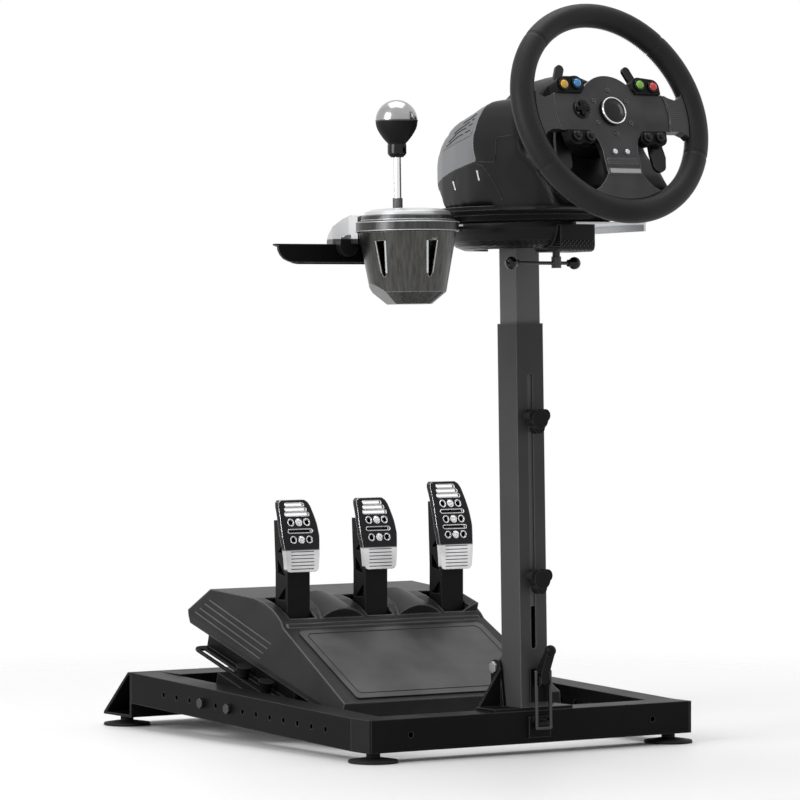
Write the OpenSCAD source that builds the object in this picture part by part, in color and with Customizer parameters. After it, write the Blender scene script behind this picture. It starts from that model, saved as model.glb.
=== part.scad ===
// Racing wheel stand with its steering unit, gear shifter and pedal set.
// Millimetres, Z up. The user sits on the -Y side and the pedals lie towards +Y.
// Inside the modules y = 0 is the front face of the base and x = 0 its centre line;
// placed() then moves everything so that the whole stands round the origin.

/* [Base frame] */
// Width over the two side bars
base_w = 485; // [460:1:540]
// Depth from the front face to the rear upper corner
base_l = 569; // [540:1:620]
// Outer width of the square base tubes
tube = 40; // [38:1:44]
// Wall of the square tubes
tube_wall = 2; // [1.5:0.5:3]
// Height of the front bar's underside
bar_lift = 13; // [11:0.5:18]
// Climb of the side bars from front to rear
rear_rise = 19.5; // [8:0.5:26]
// How far the rear leg reaches back behind the upper corner
leg_reach = 62; // [50:1:75]
// Width of the rear bar's top flange
rear_flange = 66; // [50:1:80]
// Radius of the levelling feet
foot_r = 30.8; // [24:0.2:34]
// Inset of the feet from the side of the base
foot_inset = 20; // [18:1:26]
// Diameter of the row of holes in the side bars
hole_d = 7; // [6:0.5:8.5]
// Spacing of the holes in the side bars
hole_pitch = 31.85; // [28:0.05:33]
// Number of holes in a side bar
hole_count = 13; // [9:1:13]
// Distance of the first hole from the front face
hole_first = 96.5; // [80:0.5:110]

/* [Column] */
// Outer width of the column tube
column = 40; // [38:1:44]
// Height of the column tube's top end
column_top = 527; // [500:1:560]
// Backward lean of the column in degrees
column_lean = 1.4; // [0:0.1:3]
// Width of the long slot in the column's front face
slot_w = 7; // [6.5:0.1:9]
// Lower end of the slot
slot_low = 128; // [120:1:140]
// Upper end of the slot
slot_high = 465.5; // [455:0.5:480]
// Clearance between the column and the mast inside it, each side
mast_gap = 0.5; // [0.3:0.1:0.9]
// Height of the lower clamping knob
knob_low_z = 213; // [205:1:225]
// Height of the upper clamping knob
knob_high_z = 409; // [395:1:415]
// Radius of the knob's lobed head
knob_r = 17.5; // [14:0.5:20]
// Radius of the knob's screw
knob_screw_r = 3; // [2.5:0.1:3.1]

/* [Column hinge] */
// Depth of the hinge axis behind the front face
hinge_y = 48; // [46:0.5:52]
// Height of the hinge axis
hinge_z = 104; // [98:1:112]
// Radius of the hinge bolt
hinge_bolt_r = 4; // [3:0.5:5]
// Thickness of the hinge plates
plate_t = 4; // [3:0.5:5]
// Width of the foot plate on the front bar
foot_plate_w = 117; // [100:1:130]
// Room beside the column between the hinge ears
ear_gap = 0.5; // [0.3:0.1:1]

/* [Toggle latch] */
// Sideways place of the latch on the column
latch_x = 7; // [0:1:9]
// Height of the lever's pivot
latch_z = 88; // [84:1:92]
// Distance from the lever's pivot to the bail's pivot
bail_throw = 12; // [11:0.5:14]
// Length of the wire bail
bail_len = 69.5; // [66:0.5:72]
// Radius of the bail's wire
wire_r = 2.1; // [1.6:0.1:2.4]

/* [Deck] */
// Height of the deck's top face
deck_z = 648; // [630:1:670]
// Width of the deck
deck_w = 210; // [190:1:230]
// Front edge of the deck
deck_front = -100; // [-108:1:-92]
// Rear edge of the deck
deck_rear = 38; // [38:1:60]
// Thickness of the deck plate
deck_t = 3; // [2.5:0.5:4]
// Depth of the deck's folded lip
deck_lip = 11; // [8:1:14]

/* [Shifter] */
// Sideways place of the shifter
shift_x = -231; // [-250:1:-226]
// Depth place of the shifter
shift_y = -78; // [-86:1:-78]
// Radius of the shifter's widest ring
shift_r = 61; // [56:1:61]
// Drop from the deck's top face to the arm's top face
arm_drop = 26; // [20:1:32]
// Reach of the shifter arm to the side
arm_reach = 375; // [340:1:400]
// Depth of the shifter arm from front to rear
arm_d = 68; // [60:1:80]
// How far the gear stick stands behind the shifter's middle
stick_back = 20; // [0:1:22]
// Length of the gear stick above the gate plate
stick_l = 62; // [50:1:80]
// Radius of the gear knob
gear_knob_r = 25; // [22:1:28]

/* [Steering wheel] */
// Outer radius of the wheel
wheel_r = 140; // [130:1:150]
// Radius of the rim's section
rim_r = 14.4; // [12:0.2:16]
// Depth place of the wheel's centre
wheel_y = -172; // [-180:1:-168]
// Height of the wheel's centre above the deck
wheel_up = 127; // [122:1:140]
// Tilt of the wheel from upright in degrees
wheel_tilt = 18.5; // [15:0.5:24]
// Radius of the wheel's hub plate
hub_r = 46; // [42:1:50]
// Thickness of the wheel's face plate
face_t = 8; // [6:0.5:10]

/* [Pedals] */
// Slope of the pedal set in degrees
pedal_slope = 16; // [14:0.5:18]
// Depth place of the pedal set's front lower edge
pedal_y = 178; // [170:1:190]
// Height of the pedal set's front lower edge
pedal_z = 33; // [31:0.5:38]
// Width of the pedal housing at its base
pedal_w = 336; // [330:1:344]
// Wall of the pedal housing
pedal_wall = 3; // [2.5:0.5:4]
// Spacing of the three pedals
pedal_pitch = 119; // [112:1:122]
// Width of a pedal arm
arm_w = 34; // [28:1:38]
// Depth of a pedal arm
arm_depth = 28; // [24:1:30]
// Width of a pedal pad
pad_w = 56; // [48:1:60]
// Height of the two shorter pads
pad_h = 88; // [80:1:96]
// Height of the long pad
long_pad_h = 106; // [104:1:120]
// Depth of a pad's turned-back edge
pad_edge = 7; // [5:0.5:9]
// Radius of the axle that carries the pedals
axle_r = 5; // [4:0.5:6]
// Width of the slot in a pedal rail
rail_slot_w = 8.6; // [8.4:0.1:10]

/* [Hidden] */
$fn = 48;
eps = 0.01;

// The origin lies under the middle of the whole, so the reach of each side is worked out here.
reach_left = arm_reach;
reach_right = base_w / 2 - foot_inset + foot_r;
reach_rear = base_l + leg_reach - foot_r * 0.85 + foot_r;
wheel_z = deck_z + wheel_up;
rim_c = wheel_r - rim_r;
wheel_at = lean_yz([wheel_y, wheel_z]);
reach_front = rim_c * sin(wheel_tilt + column_lean) + rim_r - wheel_at[0];
mid_x = (reach_right - reach_left) / 2;
mid_y = (reach_rear - reach_front) / 2;

// Where a point of the upright frame, given as [y, z], comes to lie once the column leans.
function lean_yz(p) = [
    hinge_y + (p[0] - hinge_y) * cos(column_lean) + (p[1] - hinge_z) * sin(column_lean),
    hinge_z - (p[0] - hinge_y) * sin(column_lean) + (p[1] - hinge_z) * cos(column_lean)
];

module placed() {
    translate([-mid_x, -mid_y, 0]) children();
}

// Everything above the hinge is drawn upright and leans back with the column.
module upright() {
    placed() translate([0, hinge_y, hinge_z]) rotate([-column_lean, 0, 0])
        translate([0, -hinge_y, -hinge_z]) children();
}

// A bar of given outline [y, z], drawn along X from x0 to x1.
module along_x(x0, x1) {
    translate([x0, 0, 0]) rotate([90, 0, 90]) linear_extrude(x1 - x0) children();
}

module block(x, y, z) {
    translate([x[0], y[0], z[0]]) cube([x[1] - x[0], y[1] - y[0], z[1] - z[0]]);
}

module rod_x(r, x0, x1, y, z) {
    translate([x0, y, z]) rotate([0, 90, 0]) cylinder(r = r, h = x1 - x0);
}

// A rod along Y from y0 to y1.
module rod_y(r, y0, y1, x, z) {
    translate([x, y1, z]) rotate([90, 0, 0]) cylinder(r = r, h = y1 - y0);
}

module box_tube(size, length, wall) {
    difference() {
        cube([size, length, size]);
        translate([wall, -1, wall]) cube([size - 2 * wall, length + 2, size - 2 * wall]);
    }
}

// Base frame

bar_top = bar_lift + tube;
rise_angle = atan(rear_rise / (base_l - tube));
side_end = base_l - 8;
foot_front_y = 21.5;
foot_rear_y = base_l + leg_reach - foot_r * 0.85;
foot_x = base_w / 2 - foot_inset;

// Height of the side bar's centre line at depth y.
function bar_mid_z(y) = bar_lift + (y - tube) * tan(rise_angle) + tube / 2 / cos(rise_angle);

module base_front_bar() {
    cap = 3;
    placed() color("#17181a") difference() {
        translate([-base_w / 2 + cap, tube, bar_lift]) rotate([0, 0, -90])
            box_tube(tube, base_w - 2 * cap, tube_wall);
        for (x = [-182, 182]) rod_y(hole_d / 2, -1, tube_wall + 1, x, bar_lift + tube / 2);
    }
}

module bar_end_caps() {
    cap = 3;
    plug = 12;
    placed() color("#202123") for (s = [-1, 1]) {
        block(s > 0 ? [base_w / 2 - cap, base_w / 2] : [-base_w / 2, -base_w / 2 + cap],
            [0, tube], [bar_lift, bar_top]);
        block(s > 0 ? [base_w / 2 - cap - plug, base_w / 2 - cap]
                : [-base_w / 2 + cap, -base_w / 2 + cap + plug],
            [tube_wall + 0.3, tube - tube_wall - 0.3], [bar_lift + tube_wall + 0.3, bar_top - tube_wall - 0.3]);
    }
}

module side_bar(s) {
    x0 = s > 0 ? base_w / 2 - tube : -base_w / 2;
    difference() {
        translate([x0, tube, bar_lift]) rotate([rise_angle, 0, 0]) translate([0, -tube / 2, 0])
            box_tube(tube, side_end - tube / 2, tube_wall);
        block([x0 - 1, x0 + tube + 1], [-tube, tube], [0, 2 * tube]);
        block([x0 - 1, x0 + tube + 1], [side_end, side_end + tube], [0, 3 * tube]);
        for (k = [0 : hole_count - 1]) {
            y = hole_first + k * hole_pitch;
            rod_x(hole_d / 2, x0 - 1, x0 + tube + 1, y, bar_mid_z(y));
        }
    }
}

module base_left_bar() {
    placed() color("#17181a") side_bar(-1);
}

module base_right_bar() {
    placed() color("#17181a") side_bar(1);
}

// The rear bar is folded plate: a top flange, and a closed leg that slants back to the floor.
module base_rear_bar() {
    sheet = 3;
    top = bar_lift + (side_end - tube) * tan(rise_angle) + tube / cos(rise_angle);
    low = bar_lift + 0.6;
    inner_x = base_w / 2 - tube;
    placed() color("#17181a") {
        along_x(-base_w / 2, base_w / 2) difference() {
            polygon([[side_end, low], [side_end, top], [base_l, top],
                [base_l + leg_reach, low + 3], [base_l + leg_reach, low]]);
            polygon([[side_end + sheet, low + sheet], [side_end + sheet, top - sheet],
                [base_l - 1, top - sheet], [base_l + leg_reach - 6, low + sheet]]);
        }
        along_x(-inner_x, inner_x) polygon([[side_end, top], [base_l - rear_flange, top],
            [base_l - rear_flange, top - 16], [base_l - rear_flange + sheet, top - 16],
            [base_l - rear_flange + sheet, top - sheet], [side_end, top - sheet]]);
    }
}

module foot(top) {
    rotate_extrude() polygon([[0, 0], [foot_r - 1, 0], [foot_r, 1.5], [foot_r - 1, 3.5], [13, 6],
        [8.5, 6.5], [8.5, top], [0, top]]);
}

module feet() {
    placed() color("#1b1c1e") for (s = [-1, 1]) {
        translate([s * foot_x, foot_front_y, 0]) foot(bar_lift);
        translate([s * foot_x, foot_rear_y, 0]) foot(bar_lift + 0.6);
    }
}

// Column hinge

ear_x = column / 2 + ear_gap;
ear_r = 10;
plate_top = bar_top + plate_t;

module hinge_bracket() {
    gusset_y = 36;
    placed() color("#1a1b1d") {
        block([-foot_plate_w / 2, foot_plate_w / 2], [0, tube], [bar_top, plate_top]);
        for (s = [-1, 1]) {
            difference() {
                along_x(s > 0 ? ear_x : -ear_x - plate_t, s > 0 ? ear_x + plate_t : -ear_x) union() {
                    translate([hinge_y, hinge_z]) circle(ear_r);
                    polygon([[hinge_y - ear_r - 8, plate_top - 1], [hinge_y - ear_r, hinge_z],
                        [hinge_y + ear_r, hinge_z], [hinge_y + ear_r - 2, plate_top - 1]]);
                }
                rod_x(hinge_bolt_r + 0.1, -60, 60, hinge_y, hinge_z);
            }
            translate([0, gusset_y + plate_t, 0]) rotate([90, 0, 0]) linear_extrude(plate_t)
                polygon([[s * (ear_x + plate_t - eps), plate_top - eps],
                    [s * (foot_plate_w / 2 - 3), plate_top - eps],
                    [s * (foot_plate_w / 2 - 3), plate_top + 2],
                    [s * (ear_x + plate_t - eps), hinge_z]]);
        }
    }
}

module hinge_bolt() {
    head = 5;
    end_x = ear_x + plate_t;
    placed() color("#8d8f92") {
        rod_x(hinge_bolt_r, -end_x - head, end_x + head, hinge_y, hinge_z);
        for (x = [-end_x - head, end_x])
            translate([x, hinge_y, hinge_z]) rotate([0, 90, 0]) cylinder(r = 7.5, h = head, $fn = 6);
    }
}

// Column

module column_tube() {
    tab_r = 9;
    placed() color("#1c1d1f") difference() {
        translate([0, hinge_y, hinge_z]) rotate([-column_lean, 0, 0]) translate([0, -hinge_y, -hinge_z])
        difference() {
            union() {
                difference() {
                    block([-column / 2, column / 2], [0, column], [plate_top - 6, column_top]);
                    block([-column / 2 + tube_wall, column / 2 - tube_wall],
                        [tube_wall, column - tube_wall], [plate_top + 2, column_top + 1]);
                }
                along_x(-column / 2 + 4, column / 2 - 4) union() {
                    translate([hinge_y, hinge_z]) circle(tab_r);
                    polygon([[column - 0.5, hinge_z - 22], [hinge_y + tab_r * 0.7, hinge_z - tab_r * 0.7],
                        [hinge_y + tab_r * 0.7, hinge_z + tab_r * 0.7], [column - 0.5, hinge_z + 22]]);
                }
            }
            rod_x(hinge_bolt_r + 0.08, -column, column, hinge_y, hinge_z);
            block([-slot_w / 2, slot_w / 2], [-1, tube_wall + 1],
                [slot_low + slot_w / 2, slot_high - slot_w / 2]);
            for (z = [slot_low + slot_w / 2, slot_high - slot_w / 2])
                rod_y(slot_w / 2, -1, tube_wall + 1, 0, z);
            block([-column / 2 + tube_wall, column / 2 - tube_wall],
                [tube_wall, column - tube_wall], [plate_top + 4, column_top + 1]);
        }
        block([-column, column], [-20, column + 30], [0, plate_top + 0.3]);
    }
}

// Toggle latch: lever and wire bail on the column, hooked catch on the front bar.

latch_y = -9;
bail_y = latch_y;
bail_z = latch_z + bail_throw;
bar_at = lean_yz([bail_y, bail_z - bail_len]);
lever_half = 6;
cheek = 1.5;
bail_half = 10.5;

module latch_base() {
    half = 15;
    upright() color("#232427") difference() {
        union() {
            block([latch_x - half, latch_x + half], [-3, 0], [62, 104]);
            for (s = [-1, 1]) {
                x0 = s > 0 ? latch_x + lever_half + 0.3 : latch_x - lever_half - 0.3 - cheek;
                along_x(x0, x0 + cheek) union() {
                    translate([latch_y, latch_z]) circle(6);
                    polygon([[latch_y, latch_z - 6], [-2, latch_z - 6], [-2, latch_z + 6],
                        [latch_y, latch_z + 6]]);
                }
            }
        }
        rod_x(2.6, latch_x - 20, latch_x + 20, latch_y, latch_z);
    }
}

module latch_lever() {
    head_r = 7;
    head = [-25, 126];
    pin = 2.5;
    upright() color("#141516") {
        rod_x(pin, latch_x - lever_half - 0.3 - cheek, latch_x + lever_half + 0.3 + cheek, latch_y, latch_z);
        difference() {
            union() {
                along_x(latch_x - lever_half, latch_x + lever_half) union() {
                    translate([latch_y, latch_z]) circle(4.5);
                    polygon([[latch_y - 4.5, latch_z - 1], [latch_y + 4.5, latch_z - 1],
                        [bail_y + 5, bail_z + 4], [head[0] + 4, head[1]], [head[0] - 3, head[1]],
                        [bail_y - 5.5, bail_z - 2]]);
                }
                translate([latch_x, head[0], head[1]]) sphere(head_r);
            }
            rod_x(wire_r + 0.1, latch_x - 20, latch_x + 20, bail_y, bail_z);
        }
    }
}

module latch_bail() {
    low = bail_z - bail_len;
    upright() color("#c9cbcd") {
        rod_x(wire_r, latch_x - bail_half, latch_x + bail_half, bail_y, bail_z);
        rod_x(wire_r, latch_x - bail_half, latch_x + bail_half, bail_y, low);
        for (s = [-1, 1]) {
            translate([latch_x + s * bail_half, bail_y, low]) cylinder(r = wire_r, h = bail_len);
            for (z = [low, bail_z]) translate([latch_x + s * bail_half, bail_y, z]) sphere(wire_r);
        }
    }
}

module latch_catch() {
    half = 16;
    slope = 28;
    nose = 7.5;
    gap = wire_r + 0.9;
    placed() color("#1e1f21") {
        difference() {
            block([latch_x - half, latch_x + half], [-3, 0], [20, 46]);
            for (s = [-1, 1]) rod_y(2, -4, 1, latch_x + s * (half - 4), 42);
        }
        along_x(latch_x - 7, latch_x + 7)
            polygon([[-3 + eps, bar_at[1] + gap + (3 + bar_at[0]) * tan(slope)],
                [bar_at[0] - 1, bar_at[1] + gap + 1 * tan(slope)],
                [bar_at[0] - 1, bar_at[1] + gap + 3.5], [-3 + eps, bar_at[1] + gap + nose]]);
    }
}

// Mast and what it carries

mast = column - 2 * tube_wall - 2 * mast_gap;
mast_y = tube_wall + mast_gap;
mast_low = knob_low_z - 33;
mast_high = deck_z - deck_t;

module mast_tube() {
    upright() color("#55575a") difference() {
        translate([-mast / 2, mast_y, mast_low]) difference() {
            cube([mast, mast, mast_high - mast_low]);
            translate([tube_wall, tube_wall, -1])
                cube([mast - 2 * tube_wall, mast - 2 * tube_wall, mast_high - mast_low + 1 - 2]);
        }
        for (z = [knob_low_z, knob_high_z]) rod_y(knob_screw_r + 0.05, -1, mast_y + tube_wall + 2, 0, z);
    }
}

module knob(z) {
    collar = 7;
    thick = 12;
    upright() translate([0, 0, z]) {
        color("#c4c6c8") {
            rod_y(knob_screw_r, -collar, mast_y + tube_wall, 0, 0);
            rod_y(7, -collar, -0.3, 0, 0);
        }
        color("#1b1c1d") translate([0, -collar, 0]) rotate([90, 0, 0]) {
            cylinder(r = knob_r * 0.66, h = thick + 2);
            for (a = [30 : 120 : 270]) rotate(a) translate([knob_r * 0.55, 0, 0])
                cylinder(r = knob_r * 0.45, h = thick);
        }
    }
}

module knob_upper() { knob(knob_high_z); }
module knob_lower() { knob(knob_low_z); }

// The deck's left part is rounded, so that the clamp's band goes round it.
module block2(x, y) {
    translate([x[0], y[0]]) square([x[1] - x[0], y[1] - y[0]]);
}

module deck_plate() {
    in_band = band_r - 4.3;
    upright() color("#b9bbbd") {
        translate([0, 0, deck_z - deck_t]) linear_extrude(deck_t) {
            intersection() {
                translate([0, saddle_y]) circle(in_band, $fn = 96);
                block2([-in_band, 1], [-in_band, deck_rear]);
            }
            block2([0, deck_w / 2], [deck_front, deck_rear]);
        }
        block([deck_w / 2 - deck_t, deck_w / 2], [deck_front, deck_rear], [deck_z - deck_lip, deck_z - deck_t + eps]);
    }
}

// Shifter arm: strap under the deck, then a channel that reaches to the side.

arm_top = deck_z - arm_drop;
arm_t = 4;
arm_front = shift_y + shift_r + 4;
strap_low = deck_z - deck_t - arm_t;

module shifter_arm() {
    lip = 22;
    end = -arm_reach;
    upright() color("#19191b") {
        intersection() {
            translate([0, arm_front + arm_d, 0]) rotate([90, 0, 0]) linear_extrude(arm_d) polygon([
                [end, arm_top], [end, arm_top - 2], [-190, arm_top - arm_t],
                [-152, strap_low], [-125, strap_low], [-125, strap_low + arm_t], [-154, strap_low + arm_t],
                [-192, arm_top]]);
            // seen from above, the far corner is cut away
            linear_extrude(2 * deck_z) polygon([[end, arm_front], [end, arm_front + 6],
                [end + arm_d * 0.7, arm_front + arm_d], [0, arm_front + arm_d], [0, arm_front]]);
        }
        block([-125 - eps, -60], [0, deck_rear - 4], [strap_low, strap_low + arm_t]);
        for (rear = [0, 1]) {
            y = arm_front + rear * (arm_d - 3);
            x = end + 4 + rear * arm_d * 0.7;
            translate([0, y + 3, 0]) rotate([90, 0, 0]) linear_extrude(3) polygon([
                [x, arm_top - 1], [x, arm_top - 7], [x + 3, arm_top - 13], [x + 8, arm_top - 18],
                [x + 15, arm_top - 21], [x + 22, arm_top - lip], [-200, arm_top - lip], [-190, arm_top - arm_t]]);
        }
    }
}

// Clamp under the deck: a horseshoe saddle, its jaw block, and a screw with a sliding T-bar.

saddle_y = 5;
band_r = 98;
screw_y = -58;
clamp_r = 4.6;
clamp_pad_r = 6.5;
saddle_floor = deck_z - 31;

module clamp_saddle() {
    top = deck_z - deck_t;
    rise = top - saddle_floor;
    upright() color("#1d1d1f") difference() {
        union() {
            intersection() {
                translate([0, saddle_y, saddle_floor]) rotate_extrude($fn = 96) polygon([
                    [66, 0], [76, 0], [86, 4], [92, 10], [96, 18], [band_r, rise - 4],
                    [band_r, rise + 2.7], [band_r - 3.9, rise + 2.7], [band_r - 4, rise - 0.3],
                    [86, rise - 0.3], [82, 18], [75, 11], [66, 9]]);
                block([-band_r, 0], [-band_r, 70], [0, deck_z]);
            }
            along_x(-21, 30) polygon([[deck_front + 3, top], [deck_front + 3, saddle_floor + 2],
                [deck_front + 5, saddle_floor - 3], [deck_front + 10, saddle_floor - 5],
                [saddle_y - 50, saddle_floor - 5], [saddle_y - 46, saddle_floor], [saddle_y - 46, top]]);
        }
        // the shifter arm's strap passes here
        block([-band_r - 1, -40], [-1, deck_rear], [strap_low - 0.5, top + 4]);
        rod_z(clamp_r + 0.05, saddle_floor - 20, top + 1, 0, screw_y);
        rod_z(clamp_pad_r + 1, top - 8, top + 1, 0, screw_y);
    }
}

module rod_z(r, z0, z1, x, y) {
    translate([x, y, z0]) cylinder(r = r, h = z1 - z0);
}

module clamp_screw() {
    bar_z = saddle_floor - 18;
    bar_half = 47;
    slide = -20;
    upright() {
        color("#d5d7d9") {
            rod_z(clamp_r, bar_z - 5, deck_z - deck_t - 3.5, 0, screw_y);
            rod_z(clamp_pad_r, deck_z - deck_t - 3.5, deck_z - deck_t - 0.3, 0, screw_y);
            rod_z(6, bar_z - 6, bar_z + 8, 0, screw_y);
            rod_x(2.2, slide - bar_half, slide + bar_half, screw_y, bar_z);
        }
        color("#111112") for (s = [-1, 1]) translate([slide + s * bar_half, screw_y, bar_z])
            rotate([0, 90, 0]) sphere(7.5);
    }
}

// Steering unit

pan_top = deck_z + 20;

module base_pan() {
    upright() color("#161617") translate([0, 0, deck_z]) rotate_extrude($fn = 72)
        polygon([[0, 0], [94, 0], [102, 3], [108, 9], [110, 15], [109, 20], [0, 20]]);
}

// Side outline of the housing as [y, z over the pan], with the seam that parts the rear cover from the body.
housing_side = [[-182, -8], [-172, 18], [-156, 34], [-120, 63], [-103, 93], [-92, 128], [-86, 131], [-22, 129],
    [-6, 121], [2, 116], [24, 107], [45, 97], [66, 86], [84, 75], [94, 66], [102, 56], [107, 46], [108, 37],
    [103, 30], [86, 20], [74, 10], [68, 0], [60, -8]];
cover_side = [[-22, 140], [-20, 110], [-19, 86], [-20, 68], [-22, 56], [-8, 55], [12, 52], [36, 48], [62, 42],
    [84, 36], [103, 29], [130, 29], [130, 140]];
body_half = 97;

module housing_form() {
    intersection() {
        translate([0, 0, pan_top]) along_x(-body_half, body_half) polygon(housing_side);
        // plan: widest in the middle, drawn in at the front and narrow at the rear
        translate([0, 0, pan_top - 20]) linear_extrude(200) polygon([[-70, -190], [-88, -176], [-93, -150],
            [-body_half, -90], [-body_half, -50], [-94, -10], [-88, 30], [-79, 70], [-69, 96], [-58, 106],
            [-40, 112], [40, 112], [58, 106], [69, 96], [79, 70], [88, 30], [94, -10], [body_half, -50],
            [body_half, -90], [93, -150], [88, -176], [70, -190]]);
        // front view: rounded shoulders
        translate([0, 200, pan_top]) rotate([90, 0, 0]) linear_extrude(500) polygon([[-92, -20], [-95, 10],
            [-body_half, 40], [-96, 60], [-92, 84], [-84, 106], [-76, 120], [-68, 128], [-58, 132], [58, 132],
            [68, 128], [76, 120], [84, 106], [92, 84], [96, 60], [body_half, 40], [95, 10], [92, -20]]);
    }
}

// The dome over the motor, behind the top of the wheel.
module motor_dome() {
    r = 56;
    intersection() {
        rod_y(r, -112, -4, 0, pan_top + 102);
        translate([0, 0, pan_top]) along_x(-r, r) polygon([[-104, 90], [-101, 120], [-97, 148], [-90, 156],
            [-80, 158], [-62, 156], [-45, 151], [-28, 142], [-14, 131], [-6, 120], [-6, 90]]);
    }
}

module motor_housing() {
    upright() color("#1f2022") difference() {
        union() {
            housing_form();
            motor_dome();
        }
        translate([0, 0, pan_top]) along_x(-120, 120) polygon(cover_side);
        // the body hangs down in front of the pan, and clears its edge
        translate([0, 0, pan_top - 30]) cylinder(r = 111.5, h = 30, $fn = 96);
        block([-120, 120], [-60, 120], [pan_top - 30, pan_top]);
        // the bare badge panel and the vents are let into each side
        for (t = [-1, 1]) for (y = [28, 66]) translate([t * (body_half - 6), y, pan_top + 30])
            rotate([15, 0, -t * (10 + y / 8)]) cube([9, 6, 17], center = true);
        neck_space();
    }
}

module rear_cover() {
    upright() color("#77797c") difference() {
        intersection() {
            housing_form();
            translate([0, 0, pan_top]) along_x(-120, 120) polygon(cover_side);
        }
        // long vents run down the slope, each broken once
        for (k = [-3 : 3]) for (part = [[-4, 26], [31, 88]])
            translate([17 * k, 2, pan_top + 116]) rotate([-25.5, 0, 0])
                block([-3, 3], [part[0], part[1] - 2 * abs(k)], [-9, 20]);
    }
}

// The wheel's own frame: X to the right, Y up the wheel's face, Z towards the driver.
module wheel_frame() {
    upright() translate([0, wheel_y, wheel_z]) rotate([90 - wheel_tilt, 0, 0]) children();
}

shaft_r = 11;
neck_r = 34;
neck_front = -30;

module neck_space() {
    translate([0, wheel_y, wheel_z]) rotate([90 - wheel_tilt, 0, 0])
        translate([0, 0, -120]) cylinder(r = neck_r + 0.3, h = 120 + neck_front + 20);
}

module steering_neck() {
    wheel_frame() color("#18181a") difference() {
        translate([0, 0, -119.5]) cylinder(r = neck_r, h = 119.5 + neck_front);
        translate([0, 0, -110]) cylinder(r = shaft_r + 0.05, h = 130);
    }
}

module wheel_rim() {
    wheel_frame() color("#222224") {
        rotate_extrude($fn = 96) translate([rim_c, 0]) circle(rim_r);
    }
}

// Mirrored copies of a piece on both sides of the wheel.
module both_sides() {
    for (s = [0, 1]) mirror([s, 0, 0]) children();
}

face_inner = rim_c - rim_r - 0.3;
wing_y = 23;

module face_outline() {
    circle(hub_r, $fn = 96);
    both_sides() {
        polygon([[0, wing_y], [79, wing_y], [86, 19], [96, 16], [104, 19], [112, 28], [face_inner + 9, 40],
            [face_inner + 9, -42], [110, -36], [102, -28], [94, -24.5], [40, -24.5], [34, -29], [29, -38],
            [26, -49], [25, -80], [0, -80]]);
        polygon([[0, -79], [25, -79], [31, -87], [40, -96], [54, -103], [62, -face_inner], [0, -face_inner - 9]]);
    }
}

module wheel_face() {
    wheel_frame() color("#5a5b5e") difference() {
        union() {
            translate([0, 0, -face_t / 2]) linear_extrude(face_t) intersection() {
                circle(face_inner, $fn = 96);
                face_outline();
            }
            // the leather-covered ends of the spokes stand a little proud
            translate([0, 0, -face_t / 2 - 2]) linear_extrude(face_t + 4) intersection() {
                difference() {
                    circle(face_inner, $fn = 96);
                    circle(84, $fn = 96);
                }
                union() {
                    face_outline();
                }
                block2([-face_inner, face_inner], [-60, 50]);
            }
            // the bare trim bar on the lower spoke
            block([-24, 24], [-80, -72.5], [face_t / 2 - 1, face_t / 2 + 1.5]);
            for (y = [-61, -65.5]) block([-22, 22], [y - 1.2, y + 1.2], [face_t / 2 - 1, face_t / 2 + 0.8]);
        }
        for (a = [30 : 60 : 330]) rotate(a) translate([28, 0, face_t / 2 - 1.5]) cylinder(r = 3.6, h = 3);
    }
}

// The paddles turn on pins between lugs of the boss.
paddle_z = -17;
paddle_x = 52;
paddle_pin_r = 2;
knuckle = [-6, 8];

module wheel_boss() {
    lug = 3.5;
    wheel_frame() color("#141415") difference() {
        union() {
            translate([0, 0, neck_front + 1]) cylinder(r1 = 30, r2 = 40, h = -face_t / 2 - neck_front - 1);
            translate([0, 0, -105]) cylinder(r = shaft_r, h = 105 + neck_front + 2);
            for (y = [knuckle[0] - 0.3 - lug, knuckle[1] + 0.3])
                block([-paddle_x - 5, paddle_x + 5], [y, y + lug], [paddle_z - 5, paddle_z + 5]);
        }
        for (s = [-1, 1]) rod_y(paddle_pin_r + 0.06, knuckle[0] - 10, knuckle[1] + 10, s * paddle_x, paddle_z);
    }
}

module hub_cap() {
    wheel_frame() color("#101011") translate([0, 0, face_t / 2])
        rotate_extrude() polygon([[0, 0], [17.5, 0], [17.5, 3], [16, 4.5], [14, 4], [8, 5.5], [0, 6]]);
}

// Upper pods stand on the wings, lower pods hang under them.
upper_buttons = [[46.5, 34], [66, 32]];
lower_buttons = [[42.5, -33.5], [61.5, -33]];

module button_pods() {
    wheel_frame() color("#1a1a1b") both_sides() {
        translate([0, 0, -8]) linear_extrude(face_t / 2 + 11) difference() {
            union() {
                for (p = upper_buttons) translate(p) circle(10);
                polygon([[34, wing_y], [76, wing_y], [76, 32], [66, 42], [46.5, 44], [36.5, 34]]);
            }
            circle(hub_r + 0.3, $fn = 96);
            block2([20, 90], [0, wing_y]);
        }
        translate([0, 0, -7]) linear_extrude(face_t / 2 + 9) difference() {
            union() {
                translate(lower_buttons[0]) circle(8.2);
                translate(lower_buttons[1]) circle(10.5);
                polygon([[41, -24.5], [73, -24.5], [72, -33], [61.5, -43.5], [52, -40], [42.5, -42], [34.5, -36]]);
            }
            circle(hub_r + 0.3, $fn = 96);
            block2([20, 90], [-24.5, 0]);
        }
    }
}

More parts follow.
